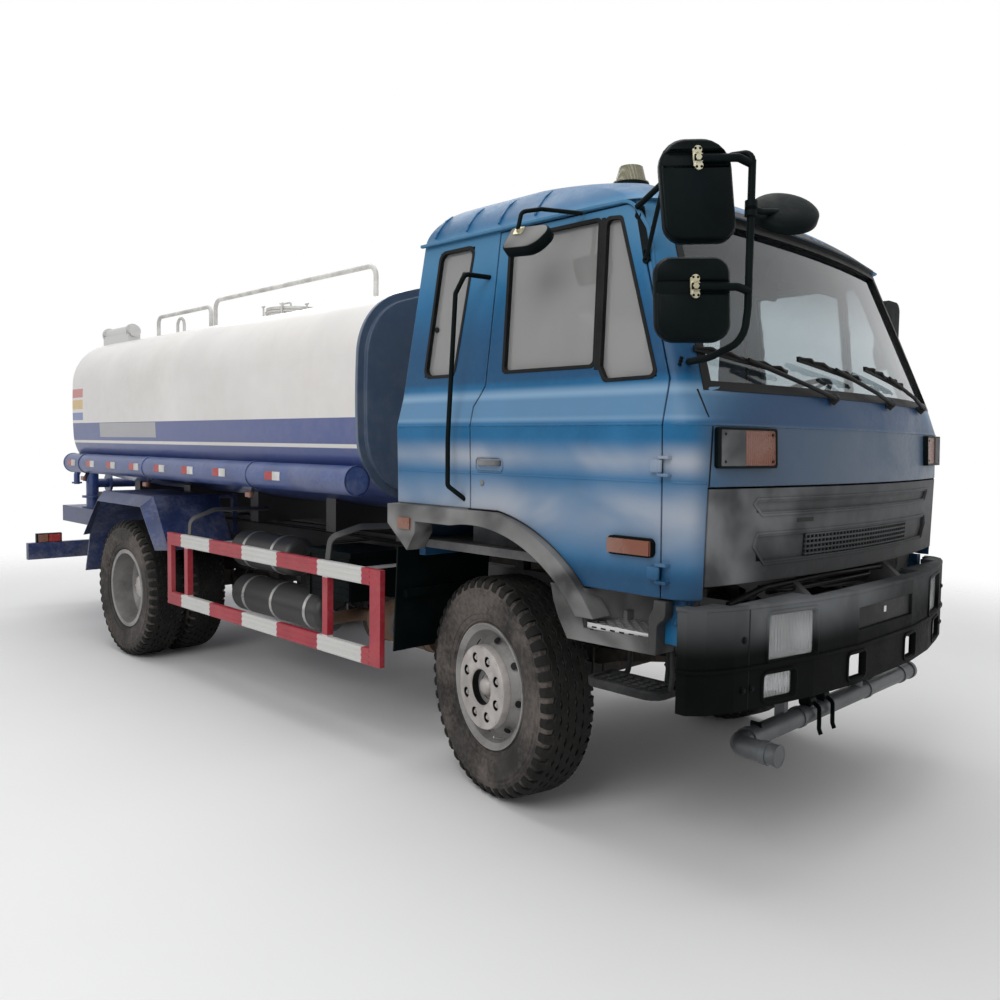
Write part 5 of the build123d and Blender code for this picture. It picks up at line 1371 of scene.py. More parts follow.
@dataclass
class CabSide:
    """Window seals, handle, rail and lamp rim on one side and its door."""

    side: Side
    main: Outline = ((4085, 1990), (4048, 2590), (4560, 2590), (4603, 1990))
    quarter: Outline = ((4628, 1985), (4588, 2588), (4668, 2580), (4912, 1935), (4662, 1930))
    rear: Outline = ((3545, 1990), (3575, 2590), (3815, 2590), (3760, 1990))
    seal: float = 7

    def push(self, p: Spot, out: float) -> Point:
        """Sets an (X, Z) point off the side's skin."""
        return SKIN.side(p[0], p[1], self.side.value, out)

    def seals(self) -> None:
        """Black rubber round the windows of one side."""
        word = self.side.word
        for name, outline, body in (("main", self.main, f"door_{word}"),
                                    ("quarter", self.quarter, f"door_{word}"), ("rear", self.rear, "cab")):
            bend = 44 if name == "rear" else 26
            inner = soft_corners(grown(outline, -8), bend - 8)
            shape = frame_strip(soft_corners(grown(outline, self.seal), bend), inner, self.push, -30, 3)
            place(f"seal_{name}_{word}", shape, body, [Finishes.RUBBER], 50)

    def divider(self) -> None:
        """The black post between the two panes."""
        s, word = self.side.value, self.side.word
        outline = [(4604, 1975), (4566, 2592), (4586, 2592), (4626, 1975)]
        shape = Shape()
        shape.rings([[SKIN.side(x, z, s, 4) for x, z in outline],
                     [SKIN.side(x, z, s, -34) for x, z in outline]])
        place(f"divider_{word}", shape, f"door_{word}", [Finishes.RUBBER], bevel=3)

    def handle(self) -> None:
        """The door's handle in its dark recess, and the lock."""
        s, word = self.side.value, self.side.word
        recess = soft_corners([(3962, 1552), (3962, 1612), (4128, 1612), (4128, 1552)], 18)
        shape = frame_strip(grown(recess, 4), recess, self.push, -2.0, 4)
        shape.rings([[SKIN.side(x, z, s, 0.8) for x, z in recess],
                     [SKIN.side(x, z, s, -1.0) for x, z in recess]])
        shape.slot = 1
        path = [SKIN.side(x, 1590, s, out) for x, out in ((3975, 2), (3990, 17), (4100, 17), (4116, 2))]
        shape.sweep(rounded(path, 10), oblong(-5, -11, 5, 11))
        shape.lathe([(-1, 12), (4, 12), (5, 9)], SKIN.side(4000, 1498, s, 0.0), (0, s, 0), 20)
        place(f"handle_{word}", shape, f"door_{word}", [Finishes.CAB, Finishes.STEP], 40)

    def rail(self) -> None:
        """The drip rail along the roof and down the screen pillar."""
        s, word = self.side.value, self.side.word
        section = oblong(-8, -7, 9, 7)
        path = [SKIN.side(x, z, s, out) for x, z, out in (
            (3436, 2640, 16), (4400, 2640, 16), (4716, 2640, 12), (4790, 2520, 4), (4850, 2330, 2.0))]
        shape = Shape().sweep(rounded(path, 90), section)
        place(f"drip_rail_{word}", shape, "cab", [Finishes.CAB], bevel=2.0)

    def door_seal(self) -> None:
        """A dark strip behind the door's shut line, painted shade in the gap."""
        s, word = self.side.value, self.side.word
        outline = [(3921, 1395), (3921, 1841), (3981, 1937), (3981, 2629), (4722, 2629),
                   (4968, 1925), (4968, 1130)]
        # Painted shade: a black rubber strip deep behind the gap.
        band = [grown(outline, 9), grown(outline, -12)]
        rings = [[SKIN.side(a[0], a[1], s, -55), SKIN.side(a[0], a[1], s, -47), SKIN.side(b[0], b[1], s, -47),
                  SKIN.side(b[0], b[1], s, -55)] for a, b in zip(*band)]
        place(f"door_seal_{word}", Shape().rings(rings), "cab", [Finishes.RUBBER])

    def lamp_rim(self) -> None:
        """A dark rim round the lamp low on the door."""
        word = self.side.word
        door = soft_corners([(4737, 1262), (4737, 1318), (4935, 1318), (4935, 1262)], 14)
        shape = frame_strip(grown(door, 9), grown(door, 1.0), self.push, -1.0, 20)
        place(f"door_lamp_rim_{word}", shape, f"door_{word}", [Finishes.BLACK], 50)

    def studs(self) -> None:
        """Two black studs on the rear side window."""
        s, word = self.side.value, self.side.word
        shape = Shape()
        for x, z in ((3742, 2468), (3585, 2220)):
            shape.lathe([(0, 13), (5, 13), (7, 9)], SKIN.side(x, z, s, -16), (0, s, 0), 18)
        place(f"window_studs_{word}", shape, "cab", [Finishes.RUBBER])

    def build(self) -> None:
        """Builds the whole side."""
        self.seals()
        self.divider()
        self.handle()
        self.rail()
        self.door_seal()
        self.lamp_rim()
        self.studs()


@dataclass
class CabFront:
    """Screen surround, wipers, turn lamps and the relief of the grille panel."""

    screen: Outline = ((-1078, 1905), (1078, 1905), (948, 2612), (-948, 2612))

    @staticmethod
    def push(p: Spot, out: float) -> Point:
        """Sets a (Y, Z) point off the front skin."""
        return SKIN.front(p[0], p[1], out)

    def fine(self, outline: Outline, steps: int = 14) -> list[Spot]:
        """An outline cut into short steps, so that it follows the bowed front.

        Args:
            outline: the outline's corners.
            steps: steps along each side.

        Returns:
            The points.
        """
        result = []
        for a, b in zip(outline, [*outline[1:], outline[0]]):
            result += [(a[0] + (b[0] - a[0]) * k / steps, a[1] + (b[1] - a[1]) * k / steps)
                       for k in range(steps)]
        return result

    def plate(self, shape: Shape, outline: Outline, low: float, high: float, steps: int = 14) -> None:
        """A thin plate on the front skin between two heights of one four-sided outline.

        Args:
            shape: where the polygons go.
            outline: left bottom, right bottom, right top and left top in Y and Z.
            low: where its back lies.
            high: where its face lies.
            steps: columns across.
        """
        a, b, c, d = outline
        rings = []
        for k in range(steps + 1):
            t = k / steps
            bottom = (a[0] + (b[0] - a[0]) * t, a[1] + (b[1] - a[1]) * t)
            top = (d[0] + (c[0] - d[0]) * t, d[1] + (c[1] - d[1]) * t)
            rings.append([self.push(bottom, low), self.push(bottom, high), self.push(top, high),
                          self.push(top, low)])
        shape.rings(rings)

    def surround(self) -> None:
        """Black rubber round the windscreen with a wider dark band above it."""
        outer = self.fine(grown(self.screen, 22))
        inner = self.fine(grown(self.screen, -14))
        place("screen_seal", frame_strip(outer, inner, self.push, -26, 4), "cab", [Finishes.RUBBER], 50)
        header = Shape()
        header.rings([[self.push((y, 2598), 5), self.push((y, 2632), 5), ROOF.front(y, 2643, 3),
                       ROOF.front(y, 2684, 4), ROOF.front(y, 2684, -4), self.push((y, 2632), -3),
                       self.push((y, 2598), -3)] for y in (-925 + 1850 * k / 28 for k in range(29))])
        place("screen_header", header, "cab", [Finishes.RUBBER], 50)
        for side in Side:
            s, seam = side.value, Shape()
            line = ((1124, 1886), (1116, 1800), (1106, 1750), (1112, 1640), (1118, 1528))
            seam.rings([[self.push((s * (y + a), z), out)
                         for a, out in ((-3, 0.8), (3, 0.8), (3, -2), (-3, -2))] for y, z in line])
            place(f"nose_seam_{side.word}", seam, "cab", [Finishes.RUBBER])

    def creases(self) -> None:
        """The pressed lines round the nose, the corners and the doors."""
        section = [(-7, -3), (-3, 2.5), (3, 2.5), (7, -3)]
        for side in Side:
            s = side.value
            for z, part in ((1755, "belt"), (1540, "low")):
                for body, x0, x1 in (("cab", 3396, 3914), (f"door_{side.word}", 3930, 4966)):
                    shape = Shape().rings(
                        [[SKIN.side(x0 + (x1 - x0) * k / 6, z + a, s, b) for a, b in section]
                         for k in range(7)])
                    place(f"crease_{part}_{body}_{side.word}", shape, body, [Finishes.CAB], 60)
                reach = 0.0 if part == "belt" else 1126
                corner = Shape().rings([[self.push((s * y, z + a), b) for a, b in section]
                                        for y in (1200 + (reach - 1200) * k / 40 for k in range(41))])
                place(f"crease_{part}_nose_{side.word}", corner, "cab", [Finishes.CAB], 60)

    def wiper(self, shape: Shape, y: float, reach: float, length: float) -> None:
        """One wiper parked along the screen's foot.

        Args:
            shape: where the polygons go.
            y: its spindle.
            reach: length of the arm towards the right side.
            length: length of the blade.
        """
        base = self.push((y, 1872), 4)
        tip = self.push((y - reach, 2010), 34)
        shape.lathe([(0, 22), (26, 19), (36, 12)], base, (0.8, 0, 0.6), 16)
        shape.pipe([self.push((y, 1880), 30), self.push((y - reach * 0.4, 1925), 44), tip], 9, 40)
        a, b = y - reach + length * 0.5, y - reach - length * 0.5
        low, high = 1975, 2040
        blade = [self.push((a + (b - a) * k / 8, low + (high - low) * k / 8), 13) for k in range(9)]
        shape.sweep([Vector(p) for p in blade], [(-5, -11), (5, -11), (8, 10), (-8, 10)])
        for near, far in ((1, 4), (4, 7), (0, 2), (6, 8)):
            mid = self.push((a + (b - a) * (near + far) / 16, low + (high - low) * (near + far) / 16 + 9), 36)
            shape.pipe([blade[near], mid, blade[far]], 6, 20)

    def wipers(self) -> None:
        """Three wipers."""
        shape = Shape()
        for y, reach, length in ((-330, 520, 480), (240, 490, 480), (760, 440, 440)):
            self.wiper(shape, y, reach, length)
        place("wipers", shape, "cab", [Finishes.RUBBER], 40)

    def turn_lamps(self) -> None:
        """Frames, grey inner halves and screws of the turn lamps."""
        for side in Side:
            s = side.value
            outline = oblong(s * 778, 1600, s * 1094, 1742)
            outer = self.fine(soft_corners(grown(outline, 5), 12, 3), 3)
            inner = self.fine(soft_corners(grown(outline, -4), 8, 3), 3)
            shape = frame_strip(outer, inner, self.push, -1.0, 23.5)
            place(f"turn_lamp_rim_{side.word}", shape, "cab", [Finishes.BLACK], 50)
            grey = Shape()
            self.plate(grey, oblong(s * 958, 1604, s * 1086, 1738), 21, 23.5, 8)
            place(f"turn_lamp_grey_{side.word}", grey, "cab", [Finishes.GREY], 40)
            screws = Shape()
            for y, z in ((800, 1620), (1066, 1620), (800, 1722), (1066, 1722)):
                screws.lathe([(0, 6), (3, 5)], self.push((s * y, z), 22.5), (1, s * 0.3, 0), 10)
            place(f"turn_lamp_screws_{side.word}", screws, "cab", [Finishes.RUBBER])

    def grille(self) -> None:
        """Upper recess with its lip, lower recess with the louvre mesh, and the slot."""
        relief, mesh = Shape(), Shape()
        for z0, z1, tip, slope in ((1418, 1472, 872, 46), (1226, 1338, 866, 64)):
            outline = [(-tip, (z0 + z1) / 2 + 12), (-tip + slope, z0), (tip - slope, z0),
                       (tip, (z0 + z1) / 2 + 12), (tip - slope * 0.3, z1), (-tip + slope * 0.3, z1)]
            outer, inner = self.fine(grown(outline, 9), 12), self.fine(outline, 12)
            rings = [[self.push(p, -2.0), self.push(p, 5), self.push(q, 5), self.push(q, -14)]
                     for p, q in zip(outer, inner)]
            relief.rings(rings, loop=True)
        place("grille_lips", relief, "cab", [Finishes.GREY], 40, bevel=1.5)
        for i in range(5):
            z = 1240 + i * 20
            self.plate(mesh, oblong(-525, z, 525, z + 8), -14, -3, 12)
        for i in range(36):
            y = -518 + i * 29.6
            self.plate(mesh, oblong(y, 1234, y + 7, 1330), -13, -6, 1)
        place("grille_mesh", mesh, "cab", [Finishes.GREY], 30)
        # Painted shade: a black sheet behind the louvre mesh and a black slot stand for the shade in the
        # openings.
        dark = Shape()
        self.plate(dark, oblong(-528, 1234, 528, 1332), -16, -13.5, 14)
        self.plate(dark, oblong(-600, 1378, -480, 1394), -3, 0.6, 2)
        place("grille_dark", dark, "cab", [Finishes.RUBBER])

    def build(self) -> None:
        """Builds the whole front."""
        self.surround()
        self.creases()
        self.wipers()
        self.turn_lamps()
        self.grille()


# ------------------------------------------------------------------ fittings
@dataclass
class BumperTrim:
    """Ledge, seams, bolts and frames on the front bumper."""

    plan: Outline = ((5060, 1215), (5103, 1215), (5153, 1165), (5203, 1050), (5243, 885), (5299, 610),
                     (5335, 290))
    # inner Y, outer Y, low Z, high Z of each framed opening
    openings: Sequence[Sequence[float]] = ((600, 876, 862, 1040), (724, 896, 717, 813), (218, 354, 718, 818))

    def face(self, y: float, z: float, out: float = 0.0) -> Point:
        """A point on the bumper's front face.

        Args:
            y: place across.
            z: the height.
            out: distance off the face.

        Returns:
            The point.
        """
        line = [*self.plan[1:], (5335, 0.0)]
        for (x0, y0), (x1, y1) in zip(line, line[1:]):
            if y1 <= abs(y) <= y0:
                return x0 + (x1 - x0) * (y0 - abs(y)) / (y0 - y1) + out, y, z
        return 5335 + out, y, z

    def frame(self, shape: Shape, side: int, near: float, far: float, low: float, high: float) -> None:
        """A raised frame with an inner slope round one opening.

        Args:
            shape: where the polygons go.
            side: 1 on the left, -1 on the right.
            near: inner Y.
            far: outer Y.
            low: low Z.
            high: high Z.
        """
        outline = soft_corners(oblong(side * near, low, side * far, high), 16)
        rings = [[self.face(p[0], p[1], out) for p, out in zip((a, a, b, c, c), (-2.0, 5, 5, -13, -20))]
                 for a, b, c in zip(grown(outline, 15), grown(outline, 5), grown(outline, -3))]
        shape.rings(rings, loop=True)

    def build(self) -> None:
        """Builds the trim."""
        ledge = Shape()
        half = [Vector((x, y, 850)) for x, y in self.plan]
        path = [Vector((p.x, -p.y, p.z)) for p in half] + half[::-1]
        ledge.sweep(path, [(-8, -7), (4, -7), (9, 0), (4, 7), (-8, 7)])
        top = [Vector((p.x - 6, p.y * 0.995, 1079)) for p in path]
        ledge.sweep(top, oblong(-8, -8, 8, 8))
        place("bumper_ledges", ledge, "chassis", [Finishes.BUMPER], 50)
        frames, marks, bolts = Shape(), Shape(), Shape()
        for side in (-1, 1):
            for row in self.openings:
                self.frame(frames, side, *row)
            for z0, z1 in ((693, 842), (858, 1072)):
                marks.rings([[self.face(side * y, z, out) for y in (976, 981) for out in (-2.0, 1.2)]
                             for z in (z0, z1)])
            for y, z in ((1004, 958), (1004, 768), (960, 770)):
                bolts.hexagon(self.face(side * y, z), (1, 0, 0), 17, 8)
                bolts.lathe([(0, 14), (2.5, 14)], self.face(side * y, z), (1, 0, 0), 16)
        place("bumper_frames", frames, "chassis", [Finishes.BUMPER], 40)
        marks.box(5322, 5325, -281, 281, 919, 1006)
        pale = Shape()
        pale.box(5323, 5328, -14, 10, 960, 986)
        place("plate_bracket", pale, "chassis", [Finishes.STEEL])
        place("bumper_marks", marks, "chassis", [Finishes.RUBBER])
        place("bumper_bolts", bolts, "chassis", [Finishes.BLACK])


@dataclass
class Kit:
    """Small parts of one finish on one body, listed as rows of simple forms.

    A row is ("box", x0, x1, y0, y1, z0, z1), ("rod", start, end, radius), ("pipe", points, radius, bend),
    ("turn", profile, centre, axis), ("nut", centre, axis, across, high), ("times", count, step, row) or
    ("bar", points, half width, half height, bend).
    """

    name: str
    body: str
    finish: object
    rows: list[tuple]
    both: bool = False
    bevel: float = 0.0
    smooth: float = 35

    def row(self, shape: Shape, row: tuple, shift: Vector, sign: int) -> None:
        """Adds one row's form, moved by a shift and put on one side.

        Args:
            shape: where the polygons go.
            row: the row.
            shift: the shift.
            sign: 1 on the left, -1 on the right.
        """
        def at(p: Sequence[float]) -> Point:
            """A place moved by the shift and put on the side."""
            return p[0] + shift.x, (p[1] + shift.y) * sign, p[2] + shift.z
        kind, *rest = row
        if kind == "times":
            for k in range(rest[0]):
                self.row(shape, rest[2], shift + Vector(rest[1]) * k, sign)
        elif kind == "box":
            lo, hi = at(rest[0::2]), at(rest[1::2])
            shape.box(lo[0], hi[0], lo[1], hi[1], lo[2], hi[2])
        elif kind == "rod":
            shape.rod(at(rest[0]), at(rest[1]), rest[2])
        elif kind == "pipe":
            shape.pipe([at(p) for p in rest[0]], rest[1], rest[2])
        elif kind == "bar":
            a, b = rest[1], rest[2]
            shape.sweep(rounded([at(p) for p in rest[0]], rest[3]), oblong(-a, -b, a, b))
        elif kind == "turn":
            profile, centre, axis = rest
            shape.lathe(profile, at(centre), (axis[0], axis[1] * sign, axis[2]), 28)
        else:
            centre, axis, across, high = rest
            shape.hexagon(at(centre), (axis[0], axis[1] * sign, axis[2]), across, high)

    def build(self) -> None:
        """Builds the parts, on both sides where they are on both."""
        for side in (Side if self.both else (Side.RIGHT,)):
            shape = Shape()
            for row in self.rows:
                self.row(shape, row, Vector((0, 0, 0)), side.value if self.both else 1)
            tail = f"_{side.word}" if self.both else ""
            place(self.name + tail, shape, self.body, [self.finish], self.smooth, self.bevel)


def ring(radius: float, thick: float, half: float) -> list[Spot]:
    """Profile of a band round a cylinder."""
    return [(-half, radius - 2), (-half, radius + thick), (half, radius + thick), (half, radius - 2)]


def fittings() -> list[Kit]:
    """The lists of small parts, with Y counted towards the left; parts on both sides are listed for the left.

    Returns:
        The lists.
    """
    x_way, y_way, z_way = (1, 0, 0), (0, 1, 0), (0, 0, 1)
    clamps = [(560 + 286 * math.sin(a), -286 * math.cos(a)) for a in (-1.9, -1.2, -0.5, 0.5, 1.2, 1.9)]
    reflectors = (-1290, -860, -420, 30, 480, 930, 1390, 2060)
    straps = (-1050, 250, 1810)
    markers = (-1080, 200, 1760)
    return [
        Kit("radiator", "chassis", Finishes.CHASSIS, [
            ("box", 4835, 4885, -340, 340, 770, 1370),
            ("times", 40, (0, 17, 0), ("box", 4884, 4890, -334, -330, 790, 1350)),
            ("box", 4880, 4896, -345, 345, 1350, 1372), ("box", 4880, 4896, -345, 345, 768, 790)]),
        Kit("front_pipes", "chassis", Finishes.RUBBER, [
            ("pipe", [(5080, -900, 1060), (5120, -700, 1112), (5130, -200, 1118), (5125, 420, 1104),
                      (5060, 640, 1060)], 13, 60),
            ("pipe", [(5060, -640, 1100), (5140, -560, 1090), (5146, 240, 1086), (5070, 420, 1110)], 9, 50),
            ("pipe", [(4900, -250, 1150), (5020, -250, 1140), (5090, -100, 1070), (5100, 300, 1065)], 24, 70),
            ("box", 5052, 5070, -560, 560, 1062, 1094),
            ("times", 6, (0, 190, 0), ("box", 5064, 5074, -500, -470, 1064, 1092))]),
        Kit("foot_panel", "cab", Finishes.CAB, [
            ("box", 4962, 5050, 1128, 1150, 925, 1100), ("box", 5046, 5052, 1100, 1150, 925, 1100),
            ("nut", (5012, 1150, 1072), y_way, 17, 8), ("nut", (5012, 1150, 1012), y_way, 17, 8),
            ("turn", [(0, 13), (2, 13)], (5012, 1150, 1072), y_way),
            ("turn", [(0, 13), (2, 13)], (5012, 1150, 1012), y_way)], True, bevel=5),
        Kit("roof_ribs", "cab", Finishes.CAB, [
            ("bar", [(x, 1086, 2668), (x, 1071, 2700), (x, 1016, 2765), (x, 975, 2793)], 6, 7, 20)
            for x in (3525, 3750, 3965, 4190)], True, 3),
        Kit("beacon_base", "cab", Finishes.BLACK, [
            ("turn", [(0, 92), (10, 92), (14, 87), (38, 87), (42, 78)], (4290, -545, 2856), z_way)],
            smooth=40),
        Kit("lid_clamps", "chassis", Finishes.WHITE, [
            ("turn", [(0, 254), (0, 276), (14, 276), (14, 254)], (560, 0, 2690), z_way),
            *[("rod", (x, y, 2672), (x, y, 2752), 7) for x, y in clamps],
            *[("rod", (x - 22, y, 2748), (x + 22, y, 2748), 6) for x, y in clamps]]),
        Kit("tube_straps", "chassis", Finishes.PIPE, [
            *[("turn", ring(82, 5, 16), (x, 1098.7, 1462), x_way) for x in straps],
            *[("box", x - 16, x + 16, 1090, 1106, 1370, 1384) for x in straps],
            *[("turn", [(-6, 76), (-6, 86), (6, 86), (6, 76)], (x, 1098.7, 1462), x_way)
              for x in (-1384, 2894)]], True),
        Kit("tube_reflectors_red", "chassis", Lenses.RED, [
            ("box", x, x + 85, 1176, 1183, 1440, 1492) for x in reflectors], True, 1.5),
        Kit("tube_reflectors_white", "chassis", Finishes.WHITE, [
            ("box", x + 86, x + 170, 1176, 1183, 1440, 1492) for x in reflectors], True, 1.5),
        Kit("marker_lamps", "chassis", Lenses.AMBER, [
            ("box", x, x + 62, 1128, 1150, 1318, 1352) for x in markers], True, 4),
        Kit("marker_brackets", "chassis", Finishes.CHASSIS, [
            ("bar", [(x + 31, 1100, 1382), (x + 31, 1120, 1340), (x + 31, 1126, 1310)], 14, 3, 10)
            for x in markers], True),
        Kit("guard_ribs", "chassis", Finishes.GUARD, [
            ("box", 692, 3123, 1177, 1181, z, z + 15) for z in (504, 536, 566, 930, 962, 992)], True, 1.5),
        Kit("guard_brackets", "chassis", Finishes.CHASSIS, [
            ("bar", [(985, 1150, 1000), (1000, 1150, 1120), (1060, 1000, 1190), (1160, 640, 1190)], 4, 22,
             60),
            ("bar", [(2690, 1150, 1000), (2720, 1150, 1140), (2800, 1000, 1200), (2960, 600, 1200)], 4, 22,
             60)], True),
        Kit("can_bands", "chassis", Finishes.STEEL, [
            *[("turn", ring(130, 3, 15), (x, -760, z), x_way)
              for x, z in ((1250, 905), (1620, 905), (1250, 590), (1620, 590), (2030, 590))],
            *[("nut", (x, -760, z), x_way, 30, 22) for x, z in ((1796, 905), (2176, 590))],
            *[("nut", (x, -890, z), (0, -1, 0), 14, 10)
              for x, z in ((1250, 905), (1620, 905), (1250, 590))]]),
        Kit("air_hoses", "chassis", Finishes.RUBBER, [
            ("pipe", [(1800, -760, 905), (1880, -770, 930), (1960, -700, 1010), (2300, -560, 1060),
                      (2900, -500, 1040)], 9, 60),
            ("pipe", [(2176, -760, 590), (2260, -740, 640), (2300, -620, 900), (2700, -520, 980)], 9, 60),
            ("pipe", [(1060, -760, 590), (980, -740, 660), (960, -600, 860), (600, -520, 930)], 9, 60),
            ("pipe", [(-900, -600, 1040), (200, -560, 1060), (1500, -540, 1070), (3200, -500, 1050)], 11, 30),
            ("pipe", [(-900, 600, 1040), (200, 560, 1060), (1500, 540, 1070), (3200, 500, 1050)], 11, 30)]),
        Kit("battery_trim", "chassis", Finishes.BLACK, [
            ("box", 2108, 2572, -912, -508, 985, 1018), ("box", 2126, 2134, -908, -512, 722, 985),
            ("box", 2548, 2554, -908, -512, 722, 985), ("box", 2290, 2390, -914, -898, 930, 960),
            ("times", 5, (0, 0, 40), ("box", 2150, 2530, -904, -899, 750, 762))], bevel=3),
        Kit("muffler_bands", "chassis", Finishes.CHASSIS, [
            ("turn", ring(125, 4, 14), (x, -700, 620), x_way) for x in (2700, 2860, 3100)]),
        Kit("flange_wheel", "chassis", Finishes.CAST, [
            ("turn", [(0, 150), (18, 150), (22, 120), (22, 60), (60, 55), (62, 0.1)], (2380, -560, 560),
             (0, -1, 0)),
            *[("nut", (2380 + 100 * math.cos(a), -582, 560 + 100 * math.sin(a)), (0, -1, 0), 18, 12)
              for a in (0.3, 1.35, 2.4, 3.44, 4.5, 5.5)]], smooth=40),
        Kit("u_bolts", "chassis", Finishes.CAST, [
            *[("pipe", [(x + k, 347, z0), (x + k, 347, z1), (x + k, 433, z1), (x + k, 433, z0)], 9, 20)
              for x, z0, z1 in ((3950, 440, 660), (0, 440, 735)) for k in (-85, 85)],
            *[("box", x - 110, x + 110, 344, 436, z, z + 14) for x, z in ((3950, 640), (0, 715))]], True),
        Kit("brake_chambers", "chassis", Finishes.CAST, [
            ("turn", [(-70, 40), (-66, 76), (-6, 84), (-6, 92), (6, 92), (6, 84), (66, 72), (70, 30)],
             (-240, 520, 560), y_way),
            ("rod", (-240, 440, 560), (-60, 440, 560), 16),
            ("pipe", [(-240, 592, 560), (-330, 600, 640), (-340, 500, 860)], 8, 50)],
            True, smooth=45),
        Kit("rear_lamps", "chassis", Lenses.RED, [("box", -2400, -2340, 900, 1010, 664, 740)], True, 5),
        Kit("rear_lamps_amber", "chassis", Lenses.AMBER, [("box", -2400, -2340, 1014, 1110, 664, 740)], True,
            5),
        Kit("rear_lamp_boxes", "chassis", Finishes.BLACK, [("box", -2394, -2342, 890, 1120, 656, 748)], True,
            3),
        Kit("pump_flanges", "chassis", Finishes.PIPE, [
            *[("turn", [(-10, 60), (-10, 92), (10, 92), (10, 60)], c, w) for c, w in (
                ((-1800, 300, 1256), y_way), ((-1800, 640, 1256), y_way), ((-1800, 790, 1450), z_way),
                ((-1800, 790, 1130), z_way), ((-1590, 790, 1526), x_way))],
            ("turn", [(0, 58), (26, 50), (40, 0.1)], (-1800, 790, 1586), z_way),
            ("pipe", [(-1800, 840, 1400), (-1800, 905, 1400), (-1800, 930, 1340), (-1800, 930, 1250)], 26,
             50),
            ("turn", [(-6, 26), (-6, 44), (8, 44), (8, 26)], (-1800, 930, 1262), z_way)], True, smooth=40),
        Kit("valve_wheels", "chassis", Finishes.GUARD, [
            ("turn", [(0, 52), (0, 62), (9, 62), (9, 52)], (-1930, 560, 1330), z_way),
            ("box", -1986, -1874, 555, 565, 1331, 1338), ("box", -1935, -1925, 504, 616, 1331, 1338),
            ("rod", (-1930, 560, 1256), (-1930, 560, 1334), 8)], True),
        Kit("hose_racks", "chassis", Finishes.CHASSIS, [
            ("rod", (-1930, 560, 1256), (-1800, 560, 1256), 30), ("box", -1700, -1560, 640, 780, 1026, 1180)],
            True, 4),
        Kit("spray_feeds", "chassis", Finishes.PIPE_GREY, [
            *[("turn", ring(42, 5, 13), (5105, y, 505), y_way) for y in (-760, -340, 340, 760, 884)],
            ("turn", ring(42, 5, 13), (5240, -860, 505), x_way),
            ("turn", oblong(0, 44, 6, 36), (5290, -860, 505), x_way)], smooth=45),
        Kit("spray_valves", "chassis", Finishes.BLACK, [
            *[("turn", [(-30, 20), (-26, 30), (26, 30), (30, 20)], (5105, y, 560), y_way)
              for y in (-250, -120)],
            *[("bar", [(5130, y, 560), (5160, y, 540), (5166, y - 10, 450), (5180, y - 20, 430)], 3, 9, 20)
              for y in (-250, -120)],
            ("box", 5080, 5130, -700, -690, 470, 560)]),
        Kit("inner_mirror", "cab", Finishes.BLACK, [
            ("box", 4300, 4540, -1010, -990, 2330, 2500),
            ("pipe", [(4440, -1000, 2490), (4450, -985, 2560), (4520, -960, 2600)], 9, 20),
            ("box", 4672, 4700, -150, 110, 2390, 2480),
            ("pipe", [(4690, -20, 2470), (4730, -20, 2560), (4790, -20, 2640)], 8, 20)],
            bevel=24, smooth=60),
        Kit("visors", "cab", Finishes.BLACK,
            [("box", 4700, 4716, 120, 820, 2480, 2600), ("box", 4700, 4716, -820, -380, 2500, 2600)],
            bevel=6),
        Kit("head_rests", "cab", Finishes.FABRIC,
            [("box", 3580, 3680, 620, 880, 2150, 2290), ("box", 3580, 3680, -880, -620, 2150, 2290)],
            bevel=24, smooth=60),
    ]


